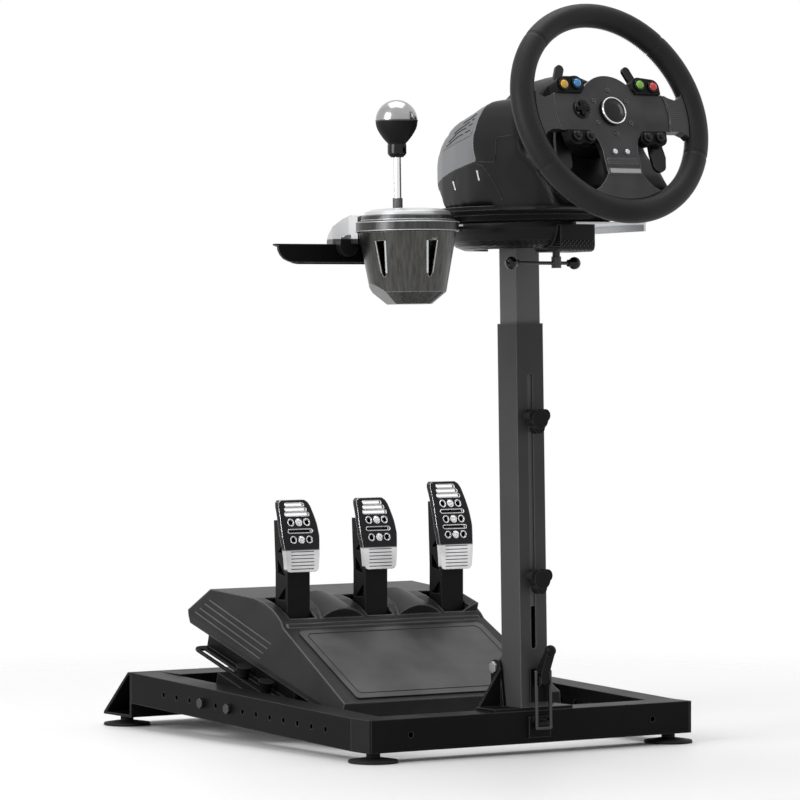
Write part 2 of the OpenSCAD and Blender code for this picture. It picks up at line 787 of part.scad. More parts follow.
module wheel_buttons() {
    top = face_t / 2;
    wheel_frame() {
        for (s = [-1, 1]) for (k = [0, 1]) {
            color(s < 0 ? (k == 0 ? "#2e93d8" : "#e8b221") : (k == 0 ? "#7dbb2f" : "#d5303a"))
                translate([s * upper_buttons[k][0], upper_buttons[k][1], top + 3]) rotate_extrude()
                    polygon([[0, 0], [5.5, 0], [5.5, 2.6], [5, 4], [3.5, 4.9], [0, 5.3]]);
            color("#111112") translate([s * lower_buttons[k][0], lower_buttons[k][1], top + 2]) rotate_extrude()
                polygon([[0, 0], [6.3, 0], [6.3, 3], [3.6, 3.6], [3.6, 7.5], [0, 7.5]]);
            color("#8d8f92") translate([s * 9, -51.5, top]) cylinder(r = 3.6, h = 3);
        }
        // direction pad: a low disc with a raised cross
        color("#2a2b2c") translate([-44, 2.5, top]) {
            cylinder(r = 12, h = 2);
            block([-8.5, 8.5], [-2.6, 2.6], [1, 4]);
            block([-2.6, 2.6], [-8.5, 8.5], [1, 4]);
        }
    }
}

// A paddle is one long finger, from above the upper pods to below the lower ones.
module paddle(side) {
    t = 4.5;
    wheel_frame() mirror([side < 0 ? 1 : 0, 0, 0]) color("#1b1b1c") {
        rod_y(paddle_pin_r, knuckle[0] - 3.8, knuckle[1] + 3.8, paddle_x, paddle_z);
        rod_y(4.5, knuckle[0], knuckle[1], paddle_x, paddle_z);
        translate([0, 0, paddle_z - t / 2]) linear_extrude(t) {
            polygon([[paddle_x, knuckle[0]], [paddle_x, knuckle[1]], [60, knuckle[1]], [60, 16], [53, 40],
                [44.2, 59], [54.4, 63], [64, 42], [71, 16], [72, -8], [78, -30], [81, -50], [78.6, -60],
                [60.4, -60], [59, -46], [60, -20], [60, knuckle[0]]]);
            translate([49.3, 61]) circle(5.5);
            translate([69.5, -59.5]) circle(9.1);
        }
    }
}

module paddle_left() { paddle(-1); }
module paddle_right() { paddle(1); }

// Gear shifter

ring_top = deck_z - 1;
bowl_top = ring_top - 13;
gate_top = ring_top + 15;
cradle_z = bowl_top - 8;
cradle_pin_r = 3;
stick_r = 4.5;
stick_top = gate_top + stick_l;

module at_shifter() {
    upright() translate([shift_x, shift_y, 0]) children();
}

// The bowl's foot is cut by four planes, each [direction, top radius, top z, foot radius, foot z].
bowl_cuts = [[163, 50, -58, 22, -84], [73, 50, -58, 22, -84], [-107, 46, -72, 38, -87], [-17, 45, -70, 27, -86]];

module shifter_bowl() {
    at_shifter() color("#4a4b4d") translate([0, 0, bowl_top]) difference() {
        rotate_extrude($fn = 96) polygon([[0, -85], [28, -85], [45, -71], [58, 0], [54, 0], [45, -50],
            [24, -77], [0, -77]]);
        for (c = bowl_cuts) rotate(c[0]) translate([c[1], 0, c[2]])
            rotate([0, atan((c[1] - c[3]) / (c[2] - c[4])), 0])
                translate([0, -80, -80]) cube([60, 160, 110]);
        // two tall vents on the driver's side, narrower at the foot
        for (a = [-159, -92]) rotate(a) translate([38, 0, -11]) rotate([90, 0, 90]) linear_extrude(30)
            polygon([[-6.5, 0], [6, 0], [3, -38], [1.5, -42], [-1.5, -42], [-3, -38]]);
        translate([0, stick_back, 0]) rod_y(cradle_pin_r + 0.05, -76, 36, 0, cradle_z - bowl_top);
    }
}

module shifter_ring() {
    at_shifter() color("#2b2c2e") translate([0, 0, bowl_top]) rotate_extrude($fn = 72)
        polygon([[44, 0], [shift_r - 1.5, 0], [shift_r, 1.5], [shift_r, 11.5], [shift_r - 1.5, 13],
            [55, 14], [54.5, 19], [53, 20], [44, 20]]);
}

module gate_plate() {
    lane = 16;
    throw_y = 19;
    at_shifter() color("#c8cacc") translate([0, 0, ring_top + 7]) difference() {
        rotate_extrude($fn = 96) polygon([[0, 0], [52, 0], [50, 4], [42, 7], [32, 8], [0, 8]]);
        translate([0, stick_back, 0]) block([-lane, lane], [-throw_y, throw_y], [-1, 11]);
    }
}

// The clamp grips the arm's front edge from above and below.
module shifter_clamp() {
    y0 = 40;
    y1 = shift_r + 4 + arm_d - 10;
    // the foot of the jaws is held just clear of the arm's front lip
    jaw_y = shift_r + 4 - 0.3;
    at_shifter() color("#9b9da0") difference() {
        union() {
            intersection() {
                translate([0, 0, arm_top]) along_x(-46, 46) polygon([[y0, 0], [y0, 30], [56, 34], [72, 30],
                    [96, 20], [y1 - 6, 12], [y1, 5], [y1, 0]]);
                translate([0, 0, arm_top - 1]) linear_extrude(60) polygon([[-38, y0 - 4], [-44, 60], [-46, 92],
                    [-34, y1 + 1], [34, y1 + 1], [46, 92], [44, 60], [38, y0 - 4]]);
            }
            for (s = [-1, 1]) {
                rod_y(13, jaw_y - 9, jaw_y, s * 46, arm_top - 2);
                block([s * 46 - 12, s * 46 + 12], [jaw_y - 9, jaw_y + 8], [arm_top + 0, arm_top + 8]);
            }
        }
        translate([0, 0, arm_top - 30]) cylinder(r = shift_r + 0.3, h = 90, $fn = 96);
        // room for the arm where it starts to rise
        block([38.5, 70], [jaw_y, y1 + 10], [arm_top - 40, arm_top + 60]);
    }
}

module shift_cradle() {
    outer = 15;
    inner = 10;
    at_shifter() color("#6a6b6d") translate([0, stick_back, cradle_z]) difference() {
        union() {
            cube([2 * outer, 2 * outer, 10], center = true);
            rod_y(cradle_pin_r, -stick_back - 55, 55 - stick_back, 0, 0);
        }
        cube([2 * inner, 2 * inner, 12], center = true);
        rotate([0, 90, 0]) cylinder(r = 2.55, h = 80, center = true);
    }
}

module gear_stick() {
    at_shifter() color("#d9dadc") translate([0, stick_back, 0]) {
        rod_z(stick_r, cradle_z - 6, stick_top, 0, 0);
        rod_z(stick_r + 0.7, gate_top + 2, gate_top + 13, 0, 0);
        rod_x(2.5, -14.5, 14.5, 0, cradle_z);
    }
}

knob_waist = 43;

module knob_grip() {
    at_shifter() color("#151516") translate([0, stick_back, stick_top]) rotate_extrude()
        polygon([[0, 0], [7.5, 0], [10.6, 3], [10.8, 15.5], [12, 17], [16, 22], [20, 27.5], [23, 33],
            [24.6, 38], [gear_knob_r, knob_waist], [0, knob_waist]]);
}

module knob_cap() {
    at_shifter() color("#e3e4e6") translate([0, stick_back, stick_top + knob_waist]) intersection() {
        sphere(gear_knob_r);
        block([-40, 40], [-40, 40], [0, 40]);
    }
}

// Pedal set: drawn level and tipped to its slope about its front lower edge.

module pedal_frame() {
    placed() translate([0, pedal_y, pedal_z]) rotate([pedal_slope, 0, 0]) children();
}

rail_top = -15;
rail_t = 3;
rail_x = base_w / 2 - tube - 13;
rail_w = 26;
knob_along = [157.8, 212.9];
rail_range = [110, 326];
knob_x = rail_x - 9.2;

module pedal_rails() {
    pedal_frame() color("#17181a") {
        for (s = [-1, 1]) {
            x0 = s > 0 ? rail_x - rail_w : -rail_x;
            end = rail_range[1];
            difference() {
                union() {
                    // the outer rear corner is rounded
                    translate([0, 0, rail_top - rail_t]) linear_extrude(rail_t) polygon([
                        [s * (rail_x - rail_w), rail_range[0]], [s * rail_x, rail_range[0]],
                        [s * rail_x, end - 13], [s * (rail_x - 2), end - 6], [s * (rail_x - 6), end - 2],
                        [s * (rail_x - 12), end], [s * (rail_x - rail_w), end]]);
                    block(s > 0 ? [x0, x0 + 3] : [x0 + rail_w - 3, x0 + rail_w], rail_range,
                        [rail_top - rail_t, 0]);
                }
                block([s * knob_x - rail_slot_w / 2, s * knob_x + rail_slot_w / 2],
                    [knob_along[0] - 26, knob_along[1] + 102], [rail_top - 10, rail_top + 1]);
            }
        }
        for (y = [135, 292]) block([-rail_x + rail_w - eps, rail_x - rail_w + eps], [y, y + 30], [-rail_t, 0]);
    }
}

module pedal_brackets() {
    sheet = 3;
    inner = base_w / 2 - tube;
    difference() {
        color("#17181a") pedal_frame() for (s = [-1, 1]) {
            y = [knob_along[0] - 28, knob_along[1] + 24];
            floor_z = rail_top - rail_t;
            difference() {
                block(s > 0 ? [rail_x - rail_w, inner] : [-inner, -rail_x + rail_w], y,
                    [rail_top - rail_t - sheet, rail_top - rail_t]);
                for (k = knob_along) rod_z(4.1, rail_top - 20, rail_top, s * knob_x, k);
            }
            along_x(s > 0 ? inner - sheet : -inner, s > 0 ? inner : -inner + sheet) polygon([
                [y[0], floor_z], [y[1], floor_z], [y[1], floor_z - 38], [y[0] + 60, floor_z - 38],
                [y[0], floor_z - 20]]);
        }
        placed() for (k = [7, 9]) {
            y = hole_first + k * hole_pitch;
            rod_x(hole_d / 2, -inner - 5, inner + 5, y, bar_mid_z(y));
        }
    }
}

module side_bolts() {
    inner = base_w / 2 - tube;
    placed() color("#3a3b3d") for (s = [-1, 1]) for (k = [7, 9]) {
        y = hole_first + k * hole_pitch;
        z = bar_mid_z(y);
        rod_x(hole_d / 2 - 0.3, s > 0 ? inner - 8 : -base_w / 2 - 2, s > 0 ? base_w / 2 + 2 : -inner + 8, y, z);
        translate([s > 0 ? base_w / 2 : -base_w / 2 - 5, y, z]) rotate([0, 90, 0]) cylinder(r = 6.5, h = 5, $fn = 6);
        translate([s > 0 ? inner - 8 : -inner + 3, y, z]) rotate([0, 90, 0]) cylinder(r = 4.9, h = 5, $fn = 6);
    }
}

module rail_knobs() {
    pedal_frame() color("#101011") for (s = [-1, 1]) for (y = knob_along) translate([s * knob_x, y, 0]) {
        rod_z(4, rail_top - 16, rail_top + 4, 0, 0);
        rod_z(8, rail_top, rail_top + 3, 0, 0);
        translate([0, 0, rail_top + 3]) cylinder(r1 = 8, r2 = 10, h = 10);
        translate([0, 0, rail_top - rail_t - 3 - 6]) cylinder(r = 7, h = 6, $fn = 6);
    }
}

// Side outline of the pedal housing in its own frame.
heel_top = 62;
housing_l = 376;
front_h = 24;
pivot_p = [203, 30];
slot_from = 188;
slot_to = 254;

module pedal_shell(inset) {
    polygon([[inset, inset], [2 + inset, front_h - inset * 0.3], [176, heel_top - inset],
        [183, heel_top + 5 - inset], [194, heel_top + 9 - inset], [210, heel_top + 12.5 - inset],
        [232, heel_top + 14 - inset], [256, heel_top + 12 - inset], [284, heel_top + 6 - inset],
        [352 - inset, heel_top - 9 - inset], [housing_l + 8 - inset * 1.5, 14], [housing_l - 4 - inset, inset]]);
}

module pedal_housing() {
    half = pedal_w / 2;
    top = half - 12;
    pedal_frame() color("#2b2c2e") difference() {
        union() {
            intersection() {
                along_x(-half, half) pedal_shell(0);
                translate([0, housing_l + 20, 0]) rotate([90, 0, 0]) linear_extrude(housing_l + 40) polygon([
                    [-half, -1], [-half, 8], [-top, 60], [-top + 2, 70], [-top + 7, 90], [top - 7, 90],
                    [top - 2, 70], [top, 60], [half, 8], [half, -1]]);
            }
            // the bead across the top of the heel slope, and the low bosses between the arms
            rod_x(4, -top + 8, top - 8, 178, heel_top - 1);
            for (x = [-pedal_pitch / 2, pedal_pitch / 2, pedal_pitch * 1.35]) intersection() {
                translate([x, slot_from - 4, heel_top - 31]) rotate([-90, 0, 0])
                    cylinder(r = 50, h = slot_to - slot_from + 8, $fn = 72);
                block([x - 38, min(x + 38, top - 6)], [slot_from - 2, slot_to + 2], [heel_top, heel_top + 25]);
            }
        }
        along_x(-half + 16, half - 16) pedal_shell(pedal_wall);
        for (k = [-1, 0, 1]) block([k * pedal_pitch - arm_w / 2 - 3, k * pedal_pitch + arm_w / 2 + 3],
            [slot_from, slot_to], [pedal_wall + 30, 95]);
    }
}

module heel_plate() {
    t = 2;
    pedal_frame() color("#5b5d60") {
        slope = atan((heel_top - front_h) / 174);
        translate([0, 2, front_h]) rotate([slope, 0, 0]) linear_extrude(t)
            polygon([[-138, 8], [138, 8], [141, 11], [141, 161], [136, 166], [-136, 166], [-141, 161], [-141, 11]]);
    }
}

module pedal_axle() {
    pedal_frame() color("#8b8d90") rod_x(axle_r, -pedal_w / 2 + 16, pedal_w / 2 - 16, pivot_p[0], pivot_p[1]);
}

// A pedal's own frame: upright, with its origin on the axle.
module pedal(k) {
    pedal_frame() translate([k * pedal_pitch, pivot_p[0], pivot_p[1]]) rotate([-pedal_slope, 0, 0])
        children();
}

arm_front_y = -15;
pad_low = 95;
pad_t = 3;
pad_front_y = arm_front_y - pad_edge + pad_t;

// Bend radius of a pad, and where the bend's centre lies.
function bend_r(h) = 1.6 * h;
function bend_at(h) = [arm_front_y + bend_r(h) - pad_edge - 3, pad_low + 8];
function pad_start(h) = pad_low - (h > pad_h ? 7 : 3);

module pedal_arm(k, pad_height) {
    top = pad_low + pad_height - 26;
    pedal(k) color("#1a1b1c") difference() {
        along_x(-arm_w / 2, arm_w / 2) {
            circle(axle_r + 7);
            polygon([[arm_front_y, -6], [arm_front_y + arm_depth, -6], [arm_front_y + arm_depth, pad_low],
                [arm_front_y, pad_low]]);
            intersection() {
                polygon([[arm_front_y - pad_edge - 3, pad_low + 3], [arm_front_y, pad_low - 1],
                    [arm_front_y + arm_depth, pad_low - 1], [arm_front_y + arm_depth + 4, top],
                    [arm_front_y - pad_edge - 3, top]]);
                translate(bend_at(pad_height)) circle(bend_r(pad_height) - pad_t - 0.3, $fn = 96);
            }
        }
        rod_x(axle_r + 0.06, -arm_w, arm_w, 0, 0);
        for (s = [-1, 1]) for (j = [0 : 3])
            along_x(s > 0 ? arm_w / 2 - 8 : -arm_w / 2 - 1, s > 0 ? arm_w / 2 + 1 : -arm_w / 2 + 8) polygon(
                j % 2 == 0
                    ? [[arm_front_y + 4, 26 + 30 * j], [arm_front_y + arm_depth - 5, 30 + 30 * j],
                        [arm_front_y + arm_depth - 5, 48 + 30 * j]]
                    : [[arm_front_y + 4, 26 + 30 * j], [arm_front_y + 4, 44 + 30 * j],
                        [arm_front_y + arm_depth - 5, 26 + 30 * j]]);
    }
}

// Front outline of a pad as [x, z]: a barrel with rounded corners, drawn in by the inset.
module pad_outline(h, inset) {
    w = pad_w / 2 - inset;
    z = pad_start(h) + inset;
    t = pad_low + h - inset;
    mid = (z + t) / 2;
    both_sides() polygon([[0, z], [w - 9, z], [w - 6, z + 1], [w - 4, z + 4], [w - 1.5, mid - h * 0.15], [w, mid],
        [w - 0.8, mid + h * 0.18], [w - 4, t - 8], [w - 6, t - 3], [w - 10, t], [0, t]]);
}

module bent_sheet(h, depth) {
    bend = bend_r(h);
    translate([0, bend_at(h)[0], bend_at(h)[1]]) rotate([0, 90, 0]) difference() {
        cylinder(r = bend, h = pad_w + 2, center = true, $fn = 96);
        cylinder(r = bend - depth, h = pad_w + 4, center = true, $fn = 96);
    }
}

module pad_form(h, inset) {
    translate([0, arm_front_y + 90, 0]) rotate([90, 0, 0]) linear_extrude(140) pad_outline(h, inset);
}

module pad_slot(half, z) {
    r = 1.6;
    rod_y(r, arm_front_y - 40, arm_front_y + 50, -half, z);
    rod_y(r, arm_front_y - 40, arm_front_y + 50, half, z);
    block([-half, half], [arm_front_y - 40, arm_front_y + 50], [z - r, z + r]);
}

module pedal_pad(k, pad_height) {
    top = pad_low + pad_height;
    rows = pad_height > pad_h ? [top - 28, top - 48, top - 68] : [top - 28, top - 50];
    pedal(k) color("#c9cbcd") difference() {
        union() {
            intersection() {
                bent_sheet(pad_height, pad_t);
                pad_form(pad_height, 0);
            }
            // the edge is turned back all round
            difference() {
                intersection() {
                    bent_sheet(pad_height, pad_edge);
                    pad_form(pad_height, 0);
                }
                pad_form(pad_height, 2.5);
            }
        }
        for (j = [0 : 2]) pad_slot(12 + 2 * j, top - 6 - 6 * j);
        for (z = rows) for (x = [-12, 0, 12]) rod_y(3.2, arm_front_y - 40, arm_front_y + 50, x, z);
        for (j = [1 : len(rows) - 1]) pad_slot(16, (rows[j - 1] + rows[j]) / 2);
    }
}

module clutch_arm() { pedal_arm(-1, pad_h); }
module clutch_pad() { pedal_pad(-1, pad_h); }
module brake_arm() { pedal_arm(0, pad_h); }
module brake_pad() { pedal_pad(0, pad_h); }
module throttle_arm() { pedal_arm(1, long_pad_h); }
module throttle_pad() { pedal_pad(1, long_pad_h); }

base_front_bar();
base_left_bar();
base_right_bar();
base_rear_bar();
bar_end_caps();
feet();
hinge_bracket();
hinge_bolt();
latch_catch();
pedal_brackets();
side_bolts();
rail_knobs();
column_tube();
latch_base();
latch_lever();
latch_bail();
mast_tube();
knob_upper();
knob_lower();
deck_plate();
shifter_arm();
clamp_saddle();
clamp_screw();
base_pan();
motor_housing();
rear_cover();
steering_neck();
wheel_rim();
wheel_face();
wheel_boss();
hub_cap();
button_pods();
wheel_buttons();
paddle_left();
paddle_right();
shifter_bowl();
shifter_ring();
gate_plate();
shifter_clamp();
shift_cradle();
gear_stick();
knob_grip();
knob_cap();
pedal_rails();
pedal_housing();
heel_plate();
pedal_axle();
clutch_arm();
clutch_pad();
brake_arm();
brake_pad();
throttle_arm();
throttle_pad();
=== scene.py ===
# %% [markdown]
# # Racing wheel stand
# The model comes in two layers. The CAD frame gives every rigid piece its exact place and
# shape. This script dresses it: materials that look like the real finishes, and the fine
# pieces that CAD leaves out, such as stitching, seams, screws, ribs and buttons.

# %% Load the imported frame
import math

import bmesh
import bpy
from mathutils import Matrix, Vector
from mathutils.bvhtree import BVHTree


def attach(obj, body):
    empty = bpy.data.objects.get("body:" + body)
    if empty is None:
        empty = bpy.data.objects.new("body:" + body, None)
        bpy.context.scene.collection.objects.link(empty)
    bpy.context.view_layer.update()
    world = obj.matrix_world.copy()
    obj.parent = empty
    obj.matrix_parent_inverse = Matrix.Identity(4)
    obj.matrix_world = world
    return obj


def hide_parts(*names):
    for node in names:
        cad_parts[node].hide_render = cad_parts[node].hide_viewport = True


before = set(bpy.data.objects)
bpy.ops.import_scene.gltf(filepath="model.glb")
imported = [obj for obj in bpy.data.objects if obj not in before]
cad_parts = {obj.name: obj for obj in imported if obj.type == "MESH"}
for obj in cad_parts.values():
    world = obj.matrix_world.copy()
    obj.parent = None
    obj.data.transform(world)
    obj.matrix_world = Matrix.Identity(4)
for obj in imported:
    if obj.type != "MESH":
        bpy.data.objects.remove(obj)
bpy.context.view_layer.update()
mm = 0.001

# %% [markdown]
# ## A short way to write materials
# A material in Blender is a small network of nodes. Nearly every finish here is the same
# idea: one Principled shader, a noise that varies its roughness, and a bump that gives the
# surface its grain. So one helper builds that idea and each finish only gives its numbers.
# Real edges are never sharp. The Bevel node rounds the shading of every edge, so each one
# catches a thin light. Comparing its normal with the true one finds the edges, and there the
# colour is lightened: a painted highlight, partly edge wear.

# %% The node helper
def node(mat, kind, **values):
    made = mat.node_tree.nodes.new(kind)
    for name, value in values.items():
        if name in made.inputs:
            made.inputs[name].default_value = value
        else:
            setattr(made, name, value)
    return made


def link(mat, a, out, b, into):
    mat.node_tree.links.new(a.outputs[out], b.inputs[into])


def ranged(mat, source, out, given=(0, 1), wanted=(0, 1)):
    """Carries a value over from the range given to the range wanted."""
    made = node(mat, "ShaderNodeMapRange")
    for name, value in zip(("From Min", "From Max", "To Min", "To Max"), (*given, *wanted)):
        made.inputs[name].default_value = value
    link(mat, source, out, made, "Value")
    return made


# %% One finish from a few numbers
def finish(name, color, roughness, metallic=0.0, grain=900.0, bump=0.15, depth=0.00015,
           vary=0.08, tint=0.0, coat=0.0, stretch=(1, 1, 1), specular=0.5, rounding=0.0012,
           edge=0.0, cloud=14.0):
    mat = bpy.data.materials.new(name)
    mat.use_nodes = True
    shader = mat.node_tree.nodes["Principled BSDF"]
    shader.inputs["Base Color"].default_value = (*color, 1)
    shader.inputs["Metallic"].default_value = metallic
    shader.inputs["Roughness"].default_value = roughness
    shader.inputs["Coat Weight"].default_value = coat
    shader.inputs["Specular IOR Level"].default_value = specular
    where = node(mat, "ShaderNodeTexCoord")
    scale = node(mat, "ShaderNodeMapping", Scale=stretch)
    link(mat, where, "Object", scale, "Vector")
    fine = node(mat, "ShaderNodeTexNoise", Scale=grain, Detail=3.0)
    link(mat, scale, "Vector", fine, "Vector")
    wide = node(mat, "ShaderNodeTexNoise", Scale=cloud, Detail=4.0)
    link(mat, scale, "Vector", wide, "Vector")
    spread = ranged(mat, wide, "Fac",
                    wanted=(max(0.02, roughness - vary), min(1.0, roughness + vary)))
    link(mat, spread, "Result", shader, "Roughness")
    relief = node(mat, "ShaderNodeBump", Strength=bump, Distance=depth)
    relief.name = "relief"
    link(mat, fine, "Fac", relief, "Height")
    link(mat, relief, "Normal", shader, "Normal")
    soft = node(mat, "ShaderNodeBevel", samples=4, Radius=rounding)
    link(mat, soft, "Normal", relief, "Normal")
    last = None
    if tint:
        ramp = node(mat, "ShaderNodeValToRGB")
        ramp.color_ramp.elements[0].position = 0.3
        ramp.color_ramp.elements[1].position = 0.7
        ramp.color_ramp.elements[0].color = (*[c * (1 - tint) for c in color], 1)
        ramp.color_ramp.elements[1].color = (*[min(1, c * (1 + tint)) for c in color], 1)
        link(mat, wide, "Fac", ramp, "Fac")
        link(mat, ramp, "Color", shader, "Base Color")
        last = ramp
    # edge lightens the colour along the edges: a painted highlight, partly wear
    if edge:
        edge_highlight_and_wear(mat, shader, soft, color, edge, last)
    return mat


def edge_highlight_and_wear(mat, shader, soft, color, edge, before):
    """Lightens the colour along convex and concave edges: a painted highlight, partly edge wear.
    """
    true = node(mat, "ShaderNodeNewGeometry")
    same = node(mat, "ShaderNodeVectorMath", operation="DOT_PRODUCT")
    link(mat, soft, "Normal", same, 0)
    link(mat, true, "Normal", same, 1)
    flat, fully_lit = 0.995, 0.9
    amount = ranged(mat, same, "Value", (flat, fully_lit), (0, edge))
    mix = node(mat, "ShaderNodeMixRGB")
    mix.inputs["Color1"].default_value = (*color, 1)
    mix.inputs["Color2"].default_value = (*[min(1, c * 4 + 0.16) for c in color], 1)
    link(mat, amount, "Result", mix, "Fac")
    if before:
        link(mat, before, "Color", mix, "Color1")
    link(mat, mix, "Color", shader, "Base Color")

# %% [markdown]
# ## The finishes
# The stand is black powder coat, which has a faint orange peel. Moulded plastic is duller
# with a finer grain. Brushed metal is the same noise stretched along one axis, so the
# highlights smear across it. Colours are linear values, so they look small.

# %% The palette
powder = finish("black_powder_coat", (0.0045, 0.0046, 0.005), 0.42, grain=1500, bump=0.25,
                tint=0.25, edge=0.42, rounding=0.0016, specular=0.06)
# Painted light: column and mast have the same black powder coat as the base; these lighter copies
# paint in the light their faces catch.
column_powder_lit = finish("column_powder_coat", (0.05, 0.05, 0.052), 0.4, grain=1500, bump=0.25,
                      tint=0.15, edge=0.42, rounding=0.0016, specular=0.12, cloud=5)
mast_powder_lit = finish("mast_powder_coat", (0.11, 0.11, 0.113), 0.38, grain=1500, bump=0.25,
                   tint=0.15, edge=0.3, rounding=0.0016, specular=0.2, cloud=5)
plastic = finish("moulded_black", (0.0078, 0.0078, 0.0085), 0.44, grain=2600, bump=0.3, tint=0.25,
                 edge=0.25, specular=0.08)
shell = finish("grained_shell", (0.019, 0.019, 0.0195), 0.42, grain=620, bump=0.55, depth=0.0003,
               tint=0.3, edge=0.7, rounding=0.003, specular=0.12)
housing_black = finish("housing_black", (0.0065, 0.0065, 0.007), 0.34, grain=1500, bump=0.22,
                       tint=0.3, edge=0.3, rounding=0.002, cloud=9, specular=0.09)
tray_black = finish("tray_black", (0.005, 0.005, 0.0055), 0.4, grain=2000, bump=0.2, tint=0.2,
                    edge=1.0, rounding=0.0016, specular=0.05)
gloss = finish("gloss_black", (0.004, 0.004, 0.005), 0.14, grain=300, bump=0.02, vary=0.04,
               coat=0.15, specular=0.2)
soft_grip = finish("soft_black", (0.007, 0.007, 0.0075), 0.55, grain=1800, bump=0.3, tint=0.15,
                   specular=0.12)
grey_cover = finish("satin_grey", (0.165, 0.167, 0.172), 0.38, metallic=0.25, grain=2200,
                    bump=0.18, tint=0.12, edge=0.4, cloud=10)
# Painted highlight: the ribs are the shell's plastic, made paler where they catch the light.
rib_highlight = finish("worn_rib", (0.09, 0.09, 0.093), 0.4, grain=900, bump=0.2, tint=0.2,
                   specular=0.2)
rubber = finish("black_rubber", (0.008, 0.008, 0.009), 0.7, grain=700, bump=0.4, tint=0.2,
                specular=0.2)
silver = finish("silver_plate", (0.55, 0.555, 0.565), 0.34, metallic=0.9, grain=1200, bump=0.1,
                tint=0.1)
pale = finish("pale_gate", (0.6, 0.605, 0.61), 0.3, metallic=0.7, grain=1200, bump=0.08, tint=0.06)
satin_bar = finish("satin_bar", (0.3, 0.3, 0.305), 0.3, metallic=0.8, grain=1500, bump=0.1,
                   stretch=(0.1, 1, 1), tint=0.1)
heel = finish("heel_metal", (0.06, 0.06, 0.062), 0.4, metallic=0.8, grain=1500, bump=0.3,
              vary=0.1, tint=0.3, cloud=16)
pad_chrome = finish("pad_chrome", (0.72, 0.72, 0.73), 0.16, metallic=1.0, grain=700, bump=0.08,
                    vary=0.06, tint=0.12, cloud=26)
chrome = finish("chrome", (0.78, 0.78, 0.79), 0.07, metallic=1.0, grain=300, bump=0.02, vary=0.03)
cap_metal = finish("turned_cap", (0.36, 0.36, 0.365), 0.2, metallic=1.0, grain=1400, bump=0.12,
                   stretch=(0.2, 0.2, 1), tint=0.2, cloud=60)
zinc = finish("zinc_steel", (0.4, 0.4, 0.41), 0.28, metallic=1.0, grain=900, bump=0.1, tint=0.1)
dark_steel = finish("dark_steel", (0.05, 0.05, 0.053), 0.35, metallic=0.9, grain=900, bump=0.1,
                    tint=0.1, edge=0.3)
paddle_metal = finish("paddle_metal", (0.02, 0.02, 0.022), 0.34, metallic=0.7, grain=1600,
                      bump=0.15, stretch=(1, 1, 0.08), tint=0.2, edge=0.4)
ring_metal = finish("ring_metal", (0.058, 0.058, 0.058), 0.3, metallic=0.95, grain=900, bump=0.15,
                    stretch=(1, 1, 0.05), tint=0.3, edge=0.5, cloud=190)
bowl_metal = finish("bowl_metal", (0.07, 0.069, 0.067), 0.28, metallic=0.97, grain=700, bump=0.16,
                    stretch=(1, 1, 0.04), tint=0.3, edge=0.8, rounding=0.0014, cloud=330)
print("finishes:", len(bpy.data.materials))

# %% [markdown]
# ## Rim leather and the plate of the wheel
# Leather is a net of small cells, which is what a Voronoi texture draws, so its distance
# to the cell edge is the height. Where the hands hold the rim, the leather is perforated.
# The rim mesh carries a UV map, so rows of small discs can follow it all the way round.

# %% Leather and its perforated grip
PITS_ROUND_RIM, PITS_ROUND_TUBE = 300.0, 34.0
PIT_EDGE = (0.12, 0.24)


def raised(mat, before, height, out, strength, depth):
    """Lays one more relief on the relief before it."""
    made = node(mat, "ShaderNodeBump", Strength=strength, Distance=depth)
    link(mat, height, out, made, "Height")
    link(mat, before, "Normal", made, "Normal")
    link(mat, made, "Normal", mat.node_tree.nodes["Principled BSDF"], "Normal")
    return made


def leather_finish(name, perforated):
    mat = finish(name, (0.017, 0.0168, 0.0165), 0.46, grain=900, bump=0.2, tint=0.25,
                 specular=0.13)
    where = node(mat, "ShaderNodeTexCoord")
    cells = node(mat, "ShaderNodeTexVoronoi", feature="DISTANCE_TO_EDGE", Scale=620.0)
    link(mat, where, "Object", cells, "Vector")
    hide = raised(mat, mat.node_tree.nodes["relief"], cells, "Distance", 0.35, 0.0003)
    if perforated:
        rows = node(mat, "ShaderNodeMapping", Scale=(PITS_ROUND_RIM, PITS_ROUND_TUBE, 1.0))
        link(mat, where, "UV", rows, "Vector")
        dots = node(mat, "ShaderNodeTexVoronoi", Scale=1.0, Randomness=0.0,
                    voronoi_dimensions="2D")
        link(mat, rows, "Vector", dots, "Vector")
        pit = ranged(mat, dots, "Distance", PIT_EDGE)
        raised(mat, hide, pit, "Result", 0.8, 0.0006)
    return mat


leather = leather_finish("rim_leather", False)
grip_leather = leather_finish("rim_leather_perforated", True)
print("leathers:", leather.name, grip_leather.name)

# %% [markdown]
# ## Pieces with two looks
# Some pieces are one solid in the CAD but show two finishes, such as the plate of the
# wheel, which is metal in the middle and woven at the ends of its spokes. The CAD pieces
# are never cut for this. Their objects stay at the origin at rest, so a place in the object
# is a place on the stand, and a short ramp along one axis tells the two finishes apart.

# %% Where one look ends and the other starts
def zone(mat, axis, start, end, middle=None):
    """0 before start and 1 after end, along an axis of the stand or away from its middle."""
    where = node(mat, "ShaderNodeTexCoord")
    apart = node(mat, "ShaderNodeSeparateXYZ")
    link(mat, where, "Object", apart, "Vector")
    if middle is None:
        return ranged(mat, apart, axis, (start, end))
    offset = node(mat, "ShaderNodeMath", operation="SUBTRACT")
    offset.inputs[1].default_value = middle
    link(mat, apart, axis, offset, 0)
    away = node(mat, "ShaderNodeMath", operation="ABSOLUTE")
    link(mat, offset, "Value", away, 0)
    return ranged(mat, away, "Value", (start, end))


